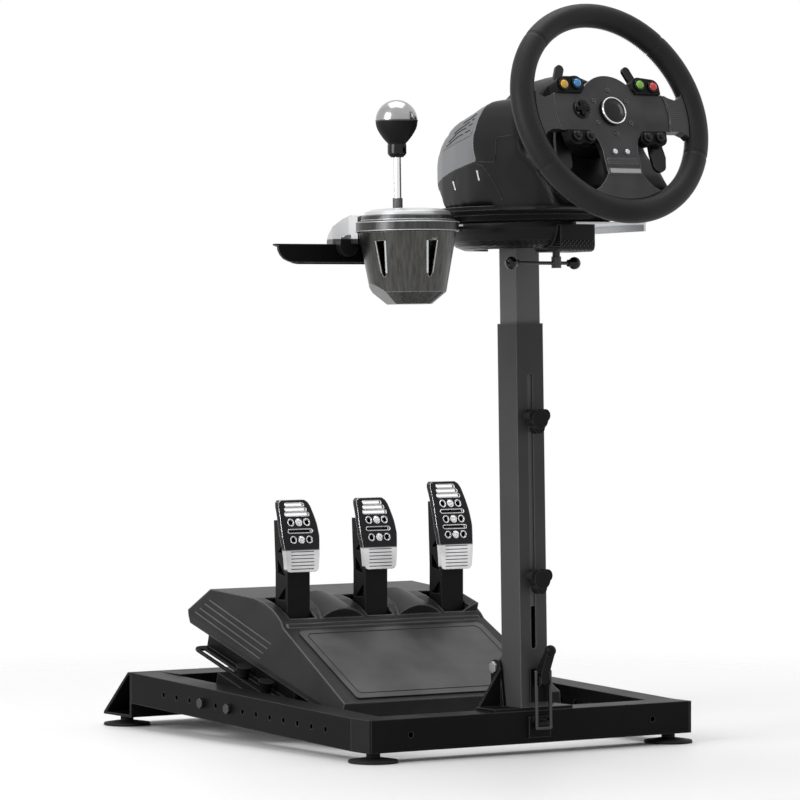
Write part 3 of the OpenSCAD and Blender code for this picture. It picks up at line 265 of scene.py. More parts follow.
def second_color(mat, share, color):
    """Mixes another colour into the base colour that the finish has so far."""
    shader = mat.node_tree.nodes["Principled BSDF"]
    mix = node(mat, "ShaderNodeMixRGB", Color2=(*color, 1))
    link(mat, share, "Result", mix, "Fac")
    link(mat, shader.inputs["Base Color"].links[0].from_node, "Color", mix, "Color1")
    link(mat, mix, "Color", shader, "Base Color")
    return mix


def second_metallic(mat, share, first, second):
    metal = ranged(mat, share, "Result", wanted=(first, second))
    link(mat, metal, "Result", mat.node_tree.nodes["Principled BSDF"], "Metallic")


# %% The plate: metal in the middle, woven black at the ends of the spokes
ROW_X, ROW_Y = 0.06085, -0.211464
LEAN, WHEEL_TILT = 1.4, 18.5
SPOKE_END = (0.0835, 0.0845)
WEAVE = 520
WEAVE_DARK, WEAVE_LIGHT = (0.006, 0.006, 0.0065), (0.03, 0.03, 0.032)


def plate_finish():
    mat = finish("gunmetal_plate", (0.042, 0.042, 0.044), 0.36, metallic=0.85, grain=1300,
                 bump=0.3, tint=0.25, edge=0.45, cloud=20)
    where = node(mat, "ShaderNodeTexCoord")
    flat = node(mat, "ShaderNodeMapping",
                Rotation=(math.radians(LEAN + WHEEL_TILT - 90), 0, 0))
    link(mat, where, "Object", flat, "Vector")
    slanted = node(mat, "ShaderNodeMapping", Rotation=(0, 0, math.radians(45)),
                   Scale=(WEAVE, WEAVE, 0))
    link(mat, flat, "Vector", slanted, "Vector")
    weave = node(mat, "ShaderNodeTexChecker", Scale=1.0, Color1=(*WEAVE_DARK, 1),
                 Color2=(*WEAVE_LIGHT, 1))
    link(mat, slanted, "Vector", weave, "Vector")
    end = zone(mat, "X", *SPOKE_END, middle=ROW_X)
    mix = second_color(mat, end, WEAVE_DARK)
    link(mat, weave, "Color", mix, "Color2")
    second_metallic(mat, end, 0.85, 0.1)
    return mat


gunmetal = plate_finish()

# %% The clamp: rubber with a diamond grip low on its block
GRIP_EDGE = (0.633, 0.628)


def grip_finish():
    mat = finish("clamp_grip", (0.004, 0.004, 0.0045), 0.3, grain=900, bump=0.1, tint=0.2,
                 edge=0.3, rounding=0.003, specular=0.15)
    where = node(mat, "ShaderNodeTexCoord")
    diamonds = node(mat, "ShaderNodeMath", operation="MULTIPLY")
    for into, angle in enumerate((45, -45)):
        tilted = node(mat, "ShaderNodeMapping", Rotation=(0, math.radians(angle), 0))
        link(mat, where, "Object", tilted, "Vector")
        wave = node(mat, "ShaderNodeTexWave", Scale=75.0)
        link(mat, tilted, "Vector", wave, "Vector")
        link(mat, wave, "Fac", diamonds, into)
    low = node(mat, "ShaderNodeMath", operation="MULTIPLY")
    link(mat, diamonds, "Value", low, 0)
    link(mat, zone(mat, "Z", *GRIP_EDGE), "Result", low, 1)
    raised(mat, mat.node_tree.nodes["relief"], low, "Value", 0.7, 0.0008)
    return mat


clamp_grip = grip_finish()

# %% The pads: bright below, dark above, with a painted highlight on their edges
PAD_DARK_FROM = (0.2365, 0.2385)


def pad_finish():
    mat = finish("pad_metal", (0.62, 0.62, 0.63), 0.2, metallic=1.0, grain=700, bump=0.12,
                 tint=0.2, cloud=26)
    mix = second_color(mat, zone(mat, "Z", *PAD_DARK_FROM), (0.02, 0.02, 0.022))
    nodes = mat.node_tree.nodes
    # Painted highlight along the edges of the pads.
    edge_highlight_and_wear(mat, nodes["Principled BSDF"], nodes["Bevel"], (0.12, 0.12, 0.122), 1.0, mix)
    return mat


pad_metal = pad_finish()

# %% The shifter's clamp: silver casting above, black jaws below
JAW_TOP = (0.6298, 0.6292)


def clamp_finish():
    mat = finish("clamp_casting", (0.55, 0.555, 0.565), 0.34, metallic=0.9, grain=1200,
                 bump=0.1, tint=0.12)
    jaws = zone(mat, "Z", *JAW_TOP)
    second_color(mat, jaws, (0.012, 0.012, 0.013))
    second_metallic(mat, jaws, 0.9, 0.3)
    return mat


clamp_casting = clamp_finish()

# %% Coloured caps of the wheel's buttons
def cap_finish(name, color):
    return finish(name, color, 0.22, grain=600, bump=0.03, vary=0.05, tint=0.12, coat=0.4,
                  rounding=0.0004)


caps = {"yellow": cap_finish("cap_yellow", (0.75, 0.42, 0.015)),
        "blue": cap_finish("cap_blue", (0.025, 0.25, 0.6)),
        "green": cap_finish("cap_green", (0.18, 0.45, 0.03)),
        "red": cap_finish("cap_red", (0.6, 0.025, 0.03))}
print("finishes now:", len(bpy.data.materials))

# %% [markdown]
# ## Dressing the CAD pieces
# On the real stand most pieces have one finish: powder coat on the tubes, moulded plastic
# on knobs and caps, bare or plated steel on what turns. A table from finish to pieces keeps
# that in one place, and a loop gives every CAD object its material and changes nothing else.

# %% Which CAD piece has which finish
dress = {
    powder: ["base_front_bar", "base_left_bar", "base_right_bar", "base_rear_bar", "hinge_bracket",
             "latch_catch", "pedal_brackets", "latch_base", "pedal_rails"],
    column_powder_lit: ["column_tube"],
    mast_powder_lit: ["mast_tube"],
    tray_black: ["base_pan", "shifter_arm"],
    plastic: ["bar_end_caps", "rail_knobs", "knob_upper", "knob_lower", "steering_neck",
              "wheel_boss", "button_pods", "latch_lever", "clutch_arm", "brake_arm",
              "throttle_arm"],
    shell: ["pedal_housing"],
    housing_black: ["motor_housing"],
    rubber: ["feet"],
    clamp_grip: ["clamp_saddle"],
    grey_cover: ["rear_cover"],
    leather: ["wheel_rim"],
    gunmetal: ["wheel_face"],
    silver: ["deck_plate"],
    clamp_casting: ["shifter_clamp"],
    pale: ["gate_plate"],
    paddle_metal: ["paddle_left", "paddle_right"],
    heel: ["heel_plate"],
    pad_metal: ["clutch_pad", "brake_pad", "throttle_pad"],
    chrome: ["gear_stick"],
    cap_metal: ["knob_cap"],
    zinc: ["hinge_bolt"],
    dark_steel: ["side_bolts", "pedal_axle", "shift_cradle", "clamp_screw", "latch_bail"],
    bowl_metal: ["shifter_bowl"],
    ring_metal: ["shifter_ring"],
    gloss: ["hub_cap", "wheel_buttons"],
    soft_grip: ["knob_grip"],
}
for material, names in dress.items():
    for name in names:
        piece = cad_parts[name]
        piece.data.materials.clear()
        piece.data.materials.append(material)
print("dressed:", sum(len(n) for n in dress.values()), "of", len(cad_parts))

# %% [markdown]
# ## The places of the fine pieces
# Fine pieces are easiest to draw where they are simple: the wheel's details flat in the
# plane of the wheel, the pads' details upright. A matrix then carries each from its own
# plane to its place on the stand. These are the same steps that the CAD source makes.

# %% Planes to draw in, in millimetres
def shift(x, y, z):
    return Matrix.Translation((x, y, z))


def turn(degrees, axis="X"):
    return Matrix.Rotation(math.radians(degrees), 4, axis)


PITCH = 119
PEDAL_SLOPE = 16
HINGE_Y, HINGE_Z = 48, 104
ROW = shift(ROW_X, ROW_Y, 0) @ Matrix.Scale(mm, 4)
LEANING = ROW @ shift(0, HINGE_Y, HINGE_Z) @ turn(-LEAN) @ shift(0, -HINGE_Y, -HINGE_Z)
WHEEL = LEANING @ shift(0, -172, 775) @ turn(90 - WHEEL_TILT)
SHIFTER = LEANING @ shift(-231, -78, 0)
PEDALS = ROW @ shift(0, 178, 33) @ turn(PEDAL_SLOPE)


def pedal_plane(k):
    return PEDALS @ shift(PITCH * k, 203, 30) @ turn(-PEDAL_SLOPE)


print("wheel centre:", [round(v, 4) for v in WHEEL.translation])

# %% [markdown]
# ## Three ways to make a fine piece
# A turned piece is a profile spun round an axis, as on a lathe. A cut piece is an outline
# given a thickness, as from sheet. A line is a thin round wire along points, which makes
# seams, ribs and stitches.

# %% Keep a piece
def keep(name, form, place, body, material, bevel=0.0, sharp=32):
    form.transform(place)
    bmesh.ops.recalc_face_normals(form, faces=form.faces)
    mesh = bpy.data.meshes.new(name)
    form.to_mesh(mesh)
    form.free()
    mesh.materials.append(material)
    for face in mesh.polygons:
        face.use_smooth = True
    mesh.set_sharp_from_angle(angle=math.radians(sharp))
    made = bpy.data.objects.new(name, mesh)
    bpy.context.collection.objects.link(made)
    if bevel:
        edge = made.modifiers.new("soft_edge", "BEVEL")
        edge.width = bevel * mm
        edge.segments = 2
        edge.limit_method = "ANGLE"
    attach(made, body)
    return made


# %% Turned, cut and drawn
def polar(radius, degrees, height=0.0):
    """A point at a distance and an angle from the upright axis."""
    a = math.radians(degrees)
    return radius * math.cos(a), radius * math.sin(a), height


def turned(profile, steps=48):
    form = bmesh.new()
    rings = []
    for radius, height in profile:
        count = steps if radius else 1
        rings.append([form.verts.new(polar(radius, 360 * i / steps, height))
                      for i in range(count)])
    for low, high in zip(rings, rings[1:]):
        for i in range(steps):
            j = (i + 1) % steps
            corners = [low[i % len(low)], low[j % len(low)],
                       high[j % len(high)], high[i % len(high)]]
            form.faces.new(list(dict.fromkeys(corners)))
    return form


def cut(outline, low, high):
    form = bmesh.new()
    lower = [form.verts.new((x, y, low)) for x, y in outline]
    upper = [form.verts.new((x, y, high)) for x, y in outline]
    form.faces.new(lower)
    form.faces.new(upper)
    for i in range(len(outline)):
        j = (i + 1) % len(outline)
        form.faces.new((lower[i], lower[j], upper[j], upper[i]))
    return form


def together(forms):
    whole = bmesh.new()
    for form in forms:
        mesh = bpy.data.meshes.new("part")
        form.to_mesh(mesh)
        form.free()
        whole.from_mesh(mesh)
        bpy.data.meshes.remove(mesh)
    return whole


def moved(form, matrix):
    form.transform(matrix)
    return form


ASKEW = Vector((0.13, 0.21, 0.97))


def wire(points, radius, closed=False, sides=6):
    """A round wire along the points. No line here runs along the askew direction."""
    form = bmesh.new()
    path = [Vector(p) for p in points]
    count = len(path)
    rings = []
    for i, here in enumerate(path):
        ahead = path[(i + 1) % count] if closed or i < count - 1 else here
        behind = path[i - 1] if closed or i > 0 else here
        along = (ahead - behind).normalized()
        side = along.cross(ASKEW).normalized()
        other = along.cross(side)
        ring = []
        for k in range(sides):
            u, v, _ = polar(radius, 360 * k / sides)
            ring.append(form.verts.new(here + side * u + other * v))
        rings.append(ring)
    pairs = list(zip(rings, rings[1:])) + ([(rings[-1], rings[0])] if closed else [])
    for a, b in pairs:
        for k in range(sides):
            m = (k + 1) % sides
            form.faces.new((a[k], a[m], b[m], b[k]))
    if not closed:
        form.faces.new(rings[0])
        form.faces.new(rings[-1])
    return form


def arc(radius, start, end, steps, height=0.0, centre=(0, 0)):
    made = []
    for i in range(steps + 1):
        x, y, z = polar(radius, start + (end - start) * i / steps, height)
        made.append((centre[0] + x, centre[1] + y, z))
    return made


print("helpers ready")

# %% [markdown]
# ## Lines that lie on a curved surface
# A seam or a raised rib has to follow the surface under it. A ray sent from outside finds
# the surface, and the line is laid where the rays land.

# %% Press points on a surface
def surface_of(piece):
    shape = bmesh.new()
    shape.from_mesh(piece.data)
    tree = BVHTree.FromBMesh(shape)
    shape.free()
    return tree


def dense(points, step=3.0, closed=False):
    made = []
    pairs = list(zip(points, points[1:])) + ([(points[-1], points[0])] if closed else [])
    for a, b in pairs:
        a, b = Vector(a), Vector(b)
        count = max(1, int((b - a).length / step))
        made += [a.lerp(b, i / count) for i in range(count)]
    if not closed:
        made.append(Vector(points[-1]))
    return made


RAY_REACH = 0.4


def pressed(tree, points, place, toward, lift=0.0):
    """Sends each point along a direction onto the surface and gives it back in the same plane."""
    back = place.inverted()
    ray = (place.to_3x3() @ Vector(toward)).normalized()
    made = []
    for point in points:
        hit = tree.ray_cast(place @ Vector(point), ray, RAY_REACH)[0]
        if hit is not None:
            made.append(back @ (hit - ray * lift * mm))
    return made

# %% [markdown]
# ## The steering wheel's rim
# The real rim is a steel ring in foam, wrapped with leather in four lengths that meet at
# four seams. A torus alone has no seams, so this ring is built from its own circles: each
# circle is a little smaller where a seam draws the leather in. The two side lengths are
# perforated.

# %% The rim
RIM_CENTRE, RIM_TUBE = 125.6, 14.4
SEAM_DRAW, SEAM_HALF = 1.1, 1.3
seams = [45.5, 134.5, 212, 334.5]


def rim_form(around=432, across=40):
    form = bmesh.new()
    layer = form.loops.layers.uv.new("wrap")
    rings = []
    for i in range(around):
        a = 360 * i / around
        near = min(abs((a - s + 180) % 360 - 180) for s in seams)
        from_seam = near * math.tau / 360 * RIM_CENTRE
        tube = RIM_TUBE - SEAM_DRAW * math.exp(-((from_seam / SEAM_HALF) ** 2))
        ring = []
        for j in range(across):
            out, height, _ = polar(tube, 360 * j / across)
            ring.append(form.verts.new(polar(RIM_CENTRE + out, a, height)))
        rings.append(ring)
    for i in range(around):
        a = 360 * (i + 0.5) / around
        for j in range(across):
            n, m = (i + 1) % around, (j + 1) % across
            face = form.faces.new((rings[i][j], rings[n][j], rings[n][m], rings[i][m]))
            held = seams[1] < a < seams[2] or a > seams[3] or a < seams[0]
            face.material_index = 1 if held else 0
            corners = ((i, j), (i + 1, j), (i + 1, j + 1), (i, j + 1))
            for loop, (u, v) in zip(face.loops, corners):
                loop[layer].uv = (u / around, v / across)
    return form


rim = keep("rim_cover", rim_form(), WHEEL, "wheel", leather, sharp=80)
rim.data.materials.append(grip_leather)
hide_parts("wheel_rim")

# %% The sewn line along the inside of the rim
STITCHES, SEWN_AT = 300, 38
inward, back, _ = polar(RIM_TUBE, SEWN_AT)
sewn = RIM_CENTRE - inward - 0.1
threads = []
for i in range(STITCHES):
    a = 360 * i / STITCHES
    threads.append(wire([polar(sewn, a, -back - 1.1), polar(sewn - 0.25, a + 0.5, -back + 1.1)],
                        0.35, sides=5))
keep("rim_stitches", together(threads), WHEEL, "wheel", plastic)
print("rim stitches:", len(threads))

# %% [markdown]
# ## What is on the wheel's face
# Six socket screws hold the plate. The round badge in the middle is left bare, with a thin
# bright ring round it. The buttons are moulded caps in dark collars: four coloured ones
# above, four black ones with a tip below.

# %% Screws, badge ring and trim bar
FACE = 4.0
SCREW_CIRCLE = 28
screw = [(0, 1.0), (1.4, 1.0), (1.5, 2.2), (2.6, 2.2), (3.0, 1.8), (3.0, 0)]
screws = [moved(turned(screw, 24), shift(*polar(SCREW_CIRCLE, a, FACE - 1.5)))
          for a in range(30, 360, 60)]
keep("plate_screws", together(screws), WHEEL, "wheel", dark_steel)
ring = [(15.6, 4.6), (15.9, 5.3), (16.8, 5.3), (17.3, 4.6), (17.4, 3.2)]
keep("badge_ring", moved(turned(ring, 72), shift(0, 0, FACE)), WHEEL, "wheel", chrome)
bar = [(-22.5, -79.2), (22.5, -79.2), (22.5, -73.3), (-22.5, -73.3)]
keep("trim_bar", cut(bar, FACE + 1.5, FACE + 2.1), WHEEL, "wheel", satin_bar,
     bevel=0.3)
print("screws of the plate:", len(screws))

# %% Buttons of the wheel
def cap(x, y, base, profile, steps=32):
    return moved(turned(profile, steps), shift(x, y, base))


dome = [(0, 5.2), (2.2, 5.0), (4.0, 4.3), (5.1, 3.2), (5.5, 2.0), (5.5, 0)]
collar = [(5.8, 0), (5.8, 2.1), (6.2, 2.6), (6.9, 2.6), (7.4, 2.0), (7.6, 0)]
colours = [("blue", -46.5, 34), ("yellow", -66, 32), ("green", 46.5, 34), ("red", 66, 32)]
first_button = None
for colour, x, y in colours:
    made = keep("button_" + colour, cap(x, y, FACE + 3, dome), WHEEL, "wheel", caps[colour])
    first_button = first_button or made
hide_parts("wheel_buttons")
keep("button_collars", together([cap(x, y, FACE + 3, collar) for _, x, y in colours]),
     WHEEL, "wheel", gloss)
knob = [(0, 7.4), (2.6, 7.3), (3.3, 6.8), (3.5, 6.2), (3.6, 3.8), (5.4, 3.4), (6.2, 2.6),
        (6.3, 0)]
keep("button_knobs", together([cap(s * x, y, FACE + 2, knob) for s in (-1, 1)
                               for x, y in ((42.5, -33.5), (61.5, -33))]),
     WHEEL, "wheel", gloss)
small = [(0, 3.0), (2.4, 2.8), (3.2, 2.2), (3.4, 0)]
keep("button_small", together([cap(s * 9, -51.5, FACE, small) for s in (-1, 1)]),
     WHEEL, "wheel", silver)

# %% The direction pad
PAD_AT = shift(-44, 2.5, FACE)
arms = [(-2.6, -8.6), (2.6, -8.6), (2.6, -2.6), (8.6, -2.6), (8.6, 2.6), (2.6, 2.6), (2.6, 8.6),
        (-2.6, 8.6), (-2.6, 2.6), (-8.6, 2.6), (-8.6, -2.6), (-2.6, -2.6)]
disc = [(0, 1.6), (9.5, 1.6), (11.0, 2.2), (11.8, 1.8), (12, 0)]
keep("direction_disc", moved(turned(disc, 48), PAD_AT), WHEEL, "wheel", gloss)
keep("direction_cross", moved(cut(arms, 1.6, 4.2), PAD_AT), WHEEL, "wheel", plastic,
     bevel=0.7)
print("buttons made")

# %% [markdown]
# ## The steering unit's housing
# On the real unit two moulded shells meet along a curved seam. The CAD solids have flat
# facets where the real shells curve. Here both are joined, given an even net by a voxel
# remesh, and smoothed until the facets melt into one skin. Boolean cuts then part it along
# the seam again and open the vents, so the edges stay crisp where they are real.

# %% One smooth skin
def applied(piece):
    bpy.context.view_layer.update()
    seen = piece.evaluated_get(bpy.context.evaluated_depsgraph_get())
    mesh = bpy.data.meshes.new_from_object(seen)
    piece.modifiers.clear()
    piece.data = mesh
    return piece


def loose(name, form):
    mesh = bpy.data.meshes.new(name)
    bmesh.ops.recalc_face_normals(form, faces=form.faces)
    form.to_mesh(mesh)
    form.free()
    made = bpy.data.objects.new(name, mesh)
    bpy.context.collection.objects.link(made)
    return made


def box_form(x, y, z):
    return cut([(x[0], y[0]), (x[1], y[0]), (x[1], y[1]), (x[0], y[1])], z[0], z[1])


def smooth_skin(names, voxel, rounds):
    whole = bmesh.new()
    for name in names:
        whole.from_mesh(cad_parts[name].data)
    skin = loose("skin", whole)
    remesh = skin.modifiers.new("even", "REMESH")
    remesh.mode = "VOXEL"
    remesh.voxel_size = voxel * mm
    relax = skin.modifiers.new("relax", "SMOOTH")
    relax.factor = 0.5
    relax.iterations = rounds
    return applied(skin)


PAN_TOP = 668
SKIN_VOXEL, SKIN_ROUNDS = 3.2, 16
seam_side = [(-20, 140), (-16.5, 108), (-16.5, 86), (-20, 70), (-26, 57), (-25, 54), (6, 49.5),
             (28, 46.5), (48, 43), (66, 39), (84, 34.5), (103, 29), (130, 29), (130, 140)]
skin = smooth_skin(["motor_housing", "rear_cover"], SKIN_VOXEL, SKIN_ROUNDS)
print("skin:", len(skin.data.polygons), "faces")


# %% Part the skin along the seam
HALF_WIDTH = 130


def side_prism(outline):
    form = cut([(y, z) for y, z in outline], -HALF_WIDTH, HALF_WIDTH)
    form.transform(LEANING @ shift(0, 0, PAN_TOP) @ turn(90, "X") @ turn(90, "Y"))
    return loose("cutter", form)


def boolean(piece, cutter, operation):
    step = piece.modifiers.new("cut", "BOOLEAN")
    step.object = cutter
    step.operation = operation
    step.solver = "EXACT"
    applied(piece)
    bpy.data.objects.remove(cutter)
    return piece


other = skin.copy()
other.data = skin.data.copy()
bpy.context.collection.objects.link(other)
body_shell = boolean(skin, side_prism(seam_side), "DIFFERENCE")
inner = [(y + 0.7, z + (0.7 if z < 60 else 0)) for y, z in seam_side]
cover_shell = boolean(other, side_prism(inner), "INTERSECT")

# %% Cut the vents in the cover's slope
VENT_PITCH, COVER_SLOPE = 17, -25.5
vents = []
for k in range(-3, 4):
    for start, end in ((-4, 26), (31, 88)):
        vent = box_form((-2.6, 2.6), (start, end - 2 * abs(k)), (-9, 24))
        vent.transform(LEANING @ shift(VENT_PITCH * k, 2, PAN_TOP + 116) @ turn(COVER_SLOPE))
        vents.append(vent)
print("vents of the cover:", len(vents))
cover_shell = boolean(cover_shell, loose("cutter", together(vents)), "DIFFERENCE")

# %% [markdown]
# ## Slits on the cover's shoulders
# The real cover has more vents on both shoulders, where it curves down. Rows of slits that
# bend with the surface are hard to cut cleanly. At this size only their dark lines show, so
# they are laid on as wires that sit half in the skin. A finer dark wire along the crease
# paints the shade where the shoulder turns.

# %% Rows of slits on both shoulders of the cover
rows_of_slits = [[(82.6, 54.1, 76.9), (87, 31, 82.6), (89.6, 8, 89.4)],
                 [(89.2, 4, 90.8), (88.4, -5.1, 93.7)],
                 [(84.3, 46.2, 82), (87.7, 31, 86.9), (87.4, 4, 97.2)],
                 [(86.5, 0, 99.2), (85.6, -6.4, 101.7)],
                 [(88, 28.4, 91), (85.7, 4.7, 102.2), (84.4, 0.6, 104)],
                 [(83.8, -3.4, 106), (82.8, -7.8, 108)],
                 [(85.4, 13.4, 103), (82.9, 0.5, 108.7), (79.5, -8.1, 114.2)]]
skin_tree = surface_of(cover_shell)


def on_shoulder(points, side, lift):
    out = Vector((side * 0.8, 0, 0.6))
    path = [Vector((side * x, y, PAN_TOP + z)) + 20 * out for x, y, z in points]
    return pressed(skin_tree, dense(path, 3.0), LEANING, -out, lift=lift)


slit_lines = [on_shoulder(points, side, -0.15) for side in (-1, 1) for points in rows_of_slits]
slit_forms = [wire(line, 0.75) for line in slit_lines if len(line) > 1]
print("slits of the cover:", len(slit_forms))
keep("cover_slits", together(slit_forms), LEANING, "mast", plastic)
# Painted shade: a thin dark wire along each shoulder crease.
crease = [(80, 65.2, 72), (87.6, 31.2, 78.4), (91.2, 5.3, 82.8), (90.9, -8.5, 86.7),
          (88.9, -12, 92.4)]
crease_shades = [wire(on_shoulder(crease, side, -0.1), 0.4) for side in (-1, 1)]
keep("cover_crease", together(crease_shades), LEANING, "mast", dark_steel)

# %% [markdown]
# ## The two shells in place
# Only edges steeper than 38 degrees stay sharp.

# %% Both shells
def shell_piece(name, source, material, body="mast"):
    source.name = name
    source.data.name = name
    source.data.materials.clear()
    source.data.materials.append(material)
    for face in source.data.polygons:
        face.use_smooth = True
    source.data.set_sharp_from_angle(angle=math.radians(38))
    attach(source, body)


shell_piece("housing_shell", body_shell, housing_black)
shell_piece("cover_shell", cover_shell, grey_cover)
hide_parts("motor_housing")
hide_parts("rear_cover")
print("shells:", len(body_shell.data.polygons), len(cover_shell.data.polygons))

# %% [markdown]
# ## Seams and slits of the housing
# The side panel of the real housing is a separate moulding, so a fine dark joint runs
# round it. It is drawn as a thin wire pressed half into the skin. Each side also has two
# short bright slits, made of a pair of wires each.

# %% The joints
BESIDE = 150
body_tree = surface_of(body_shell)


def joint(points, radius=0.55):
    forms = []
    for side in (-1, 1):
        path = [(side * BESIDE, y, PAN_TOP + z) for y, z in points]
        line = pressed(body_tree, dense(path, 3.0), LEANING, (-side, 0, 0))
        if len(line) > 3:
            forms.append(wire(line, radius))
    return forms


panel = [(-28.4, 52), (-44, 47.8), (-58, 35.6), (-70.7, 22.4), (-79, 9.4), (-82, -1.6)]
front_edge = [(-33, 54.1), (-69, 51.5), (-69, 64), (-66.7, 79), (-73, 81.6), (-101.7, 82.9)]
lines = (joint(panel) + joint(front_edge)
         + joint([(-150, 37), (-178, -4)]) + joint([(-156, 37), (-184, -4)]))
keep("housing_joints", together(lines), LEANING, "mast", gloss)

# %% The bright slits of the sides
slits = []
for start, end in (((-28.2, 43.4), (-34.6, 30.9)), ((35.9, 33), (27.1, 22.1))):
    for side in (-1, 1):
        for across in (0, 1.6):
            path = [(side * BESIDE, start[0] - across, PAN_TOP + start[1]),
                    (side * BESIDE, end[0] + across, PAN_TOP + end[1])]
            line = pressed(body_tree, dense(path, 2.0), LEANING, (-side, 0, 0), lift=-0.3)
            if len(line) > 2:
                slits.append(wire(line, 1.2))
keep("housing_slits", together(slits), LEANING, "mast", silver)
print("joints:", len(lines), "slits:", len(slits))

# %% [markdown]
# ## The clamp's handle
# The handle bar of the clamp screw ends in two moulded black balls with a small collar. The
# bar can slide in its screw, and in the photo it has slid towards the left.

# %% Balls of the clamp handle
BAR_Y, BAR_Z, BAR_HALF, BAR_SLIDE = -58, 599, 47, -20
ball = [(0, 7.8), (2.4, 7.45), (4.6, 6.3), (6.3, 4.6), (7.4, 2.4), (7.8, 0), (7.4, -2.4),
        (6.3, -4.6), (4.9, -6.1), (4.4, -7.2), (4.4, -9.4), (3.6, -9.9)]
balls = [moved(turned(ball, 32), shift(BAR_SLIDE + side * BAR_HALF, BAR_Y, BAR_Z)
               @ turn(side * 90, "Y")) for side in (-1, 1)]
keep("handle_balls", together(balls), LEANING, "clamp_screw", gloss)
print("balls of the handle:", len(balls))

# %% [markdown]
# ## The gear shifter
# The shifter's bowl is spun metal. Its vents get painted highlights: bright wires on the
# surface along the vent edges, and the edge that faces the light gets the wider one. The
# stick's foot is knurled, made here as a narrow star that is drawn up the rod. The knob is a
# soft grip, turned from one profile, with a gloss sleeve at its neck and a dark ring where its
# metal cap starts.

# %% Painted highlights on the edges of the bowl's vents
BOWL_TOP, BOWL_OUT = 634, 80
LIT, DIM = 1.5, 0.6
LEFT_EDGE, RIGHT_EDGE = ((-7.3, -11), (-3.8, -49)), ((6.8, -11), (3.8, -49))
bowl_tree = surface_of(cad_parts["shifter_bowl"])
edges = []
for azimuth, ends, radius in ((-159, LEFT_EDGE, DIM), (-159, RIGHT_EDGE, LIT),
                              (-92, LEFT_EDGE, LIT), (-92, RIGHT_EDGE, DIM)):
    across = turn(azimuth, "Z")
    line = [across @ Vector((BOWL_OUT, x, BOWL_TOP + z)) for x, z in ends]
    inward = across.to_3x3() @ Vector((-1, 0, 0))
    path = pressed(bowl_tree, dense(line, 3.0), SHIFTER, inward, lift=0.1)
    if len(path) > 2:
        edges.append(wire(path, radius))
# Painted highlights: silver wires along the vent edges, wider on the side that faces the light.
keep("vent_edges", together(edges), SHIFTER, "mast", silver)

# %% The stick's knurl and the knob
STICK_BACK, GATE_TOP, STICK_TOP = 20, 662, 724
flutes = [polar(5.9 if i % 2 else 5.4, 360 * i / 48)[:2] for i in range(48)]
keep("stick_knurl", moved(cut(flutes, GATE_TOP + 1.5, GATE_TOP + 13.3), shift(0, STICK_BACK, 0)),
     SHIFTER, "stick", dark_steel)
grip = [(0, 0), (7.5, 0), (10.4, 3), (10.6, 9), (10.8, 16), (11.6, 17.2), (13.4, 19),
        (16, 22.1), (18.7, 25.8), (21, 29.4), (23, 33.2), (24.1, 36.4), (24.7, 39.6), (25, 43),
        (24, 43.2)]
sleeve = [(10.5, 3.4), (11.3, 4.2), (11.3, 14.6), (10.7, 15.6)]
band = [(24.9, 42.2), (25.4, 42.6), (25.4, 43.6), (24.9, 44)]


def on_stick(name, profile, steps, material):
    form = moved(turned(profile, steps), shift(0, STICK_BACK, STICK_TOP))
    return keep(name, form, SHIFTER, "stick", material)


knob_body = on_stick("knob_body", grip, 96, soft_grip)
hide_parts("knob_grip")
on_stick("knob_sleeve", sleeve, 64, gloss)
on_stick("knob_ring", band, 72, dark_steel)

# %% Lips of the shifter's ring
lips = [wire(arc(radius, 0, 360, 120, BOWL_TOP + rise)[:-1], 0.5, closed=True)
        for radius, rise in ((61.2, 1.4), (61.2, 11.4), (55.2, 14.2))]
keep("ring_lips", together(lips), SHIFTER, "mast", silver)
print("shifter detail:", len(edges), "edges", len(lips), "lips")

# %% [markdown]
# ## The pedals
# The pads are pressed from sheet, dark above and bright below. Round each hole the
# metal is drawn up into a small lip, the middle hole of each row holds a screw, and the
# lower half has dark grip lines. Rays find the bent surface, so all of it lies on the pad.

# %% What lies on a pad
BEFORE_PAD = -90


def on_pad(tree, place, flat, lift=0.0):
    """Presses points of the pad's own plane, seen from the front, onto the pad."""
    return pressed(tree, [(x, BEFORE_PAD, z) for x, z in flat], place, (0, 1, 0), lift=lift)


def circle(x, z, radius, count):
    return [(x + u, z + v) for u, v, _ in (polar(radius, 360 * i / count) for i in range(count))]


def ring_on(tree, place, x, z, radius, tube, count=20):
    line = on_pad(tree, place, circle(x, z, radius, count), 0.25)
    return wire(line, tube, closed=True) if len(line) == count else None


def disc_on(tree, place, x, z):
    """A small screw head where the middle hole of a row is."""
    line = on_pad(tree, place, circle(x, z, 3.6, 8))
    head = turned([(0, 0.7), (1.5, 0.7), (1.7, 1.5), (3.0, 1.3), (3.9, 0.4), (3.9, -1.2)], 20)
    return moved(head, shift(*(sum(line, Vector()) / len(line))) @ turn(90)) if line else None


def slot_on(tree, place, half, z, radius, tube):
    around = []
    for centre, start in ((half, -90), (-half, 90)):
        around += [(x, y, 0) for x, y, _ in arc(radius, start, start + 180, 8, 0, (centre, z))]
    line = on_pad(tree, place, [(x, y) for x, y, _ in dense(around, 3.0, True)], 0.25)
    return wire(line, tube, closed=True)


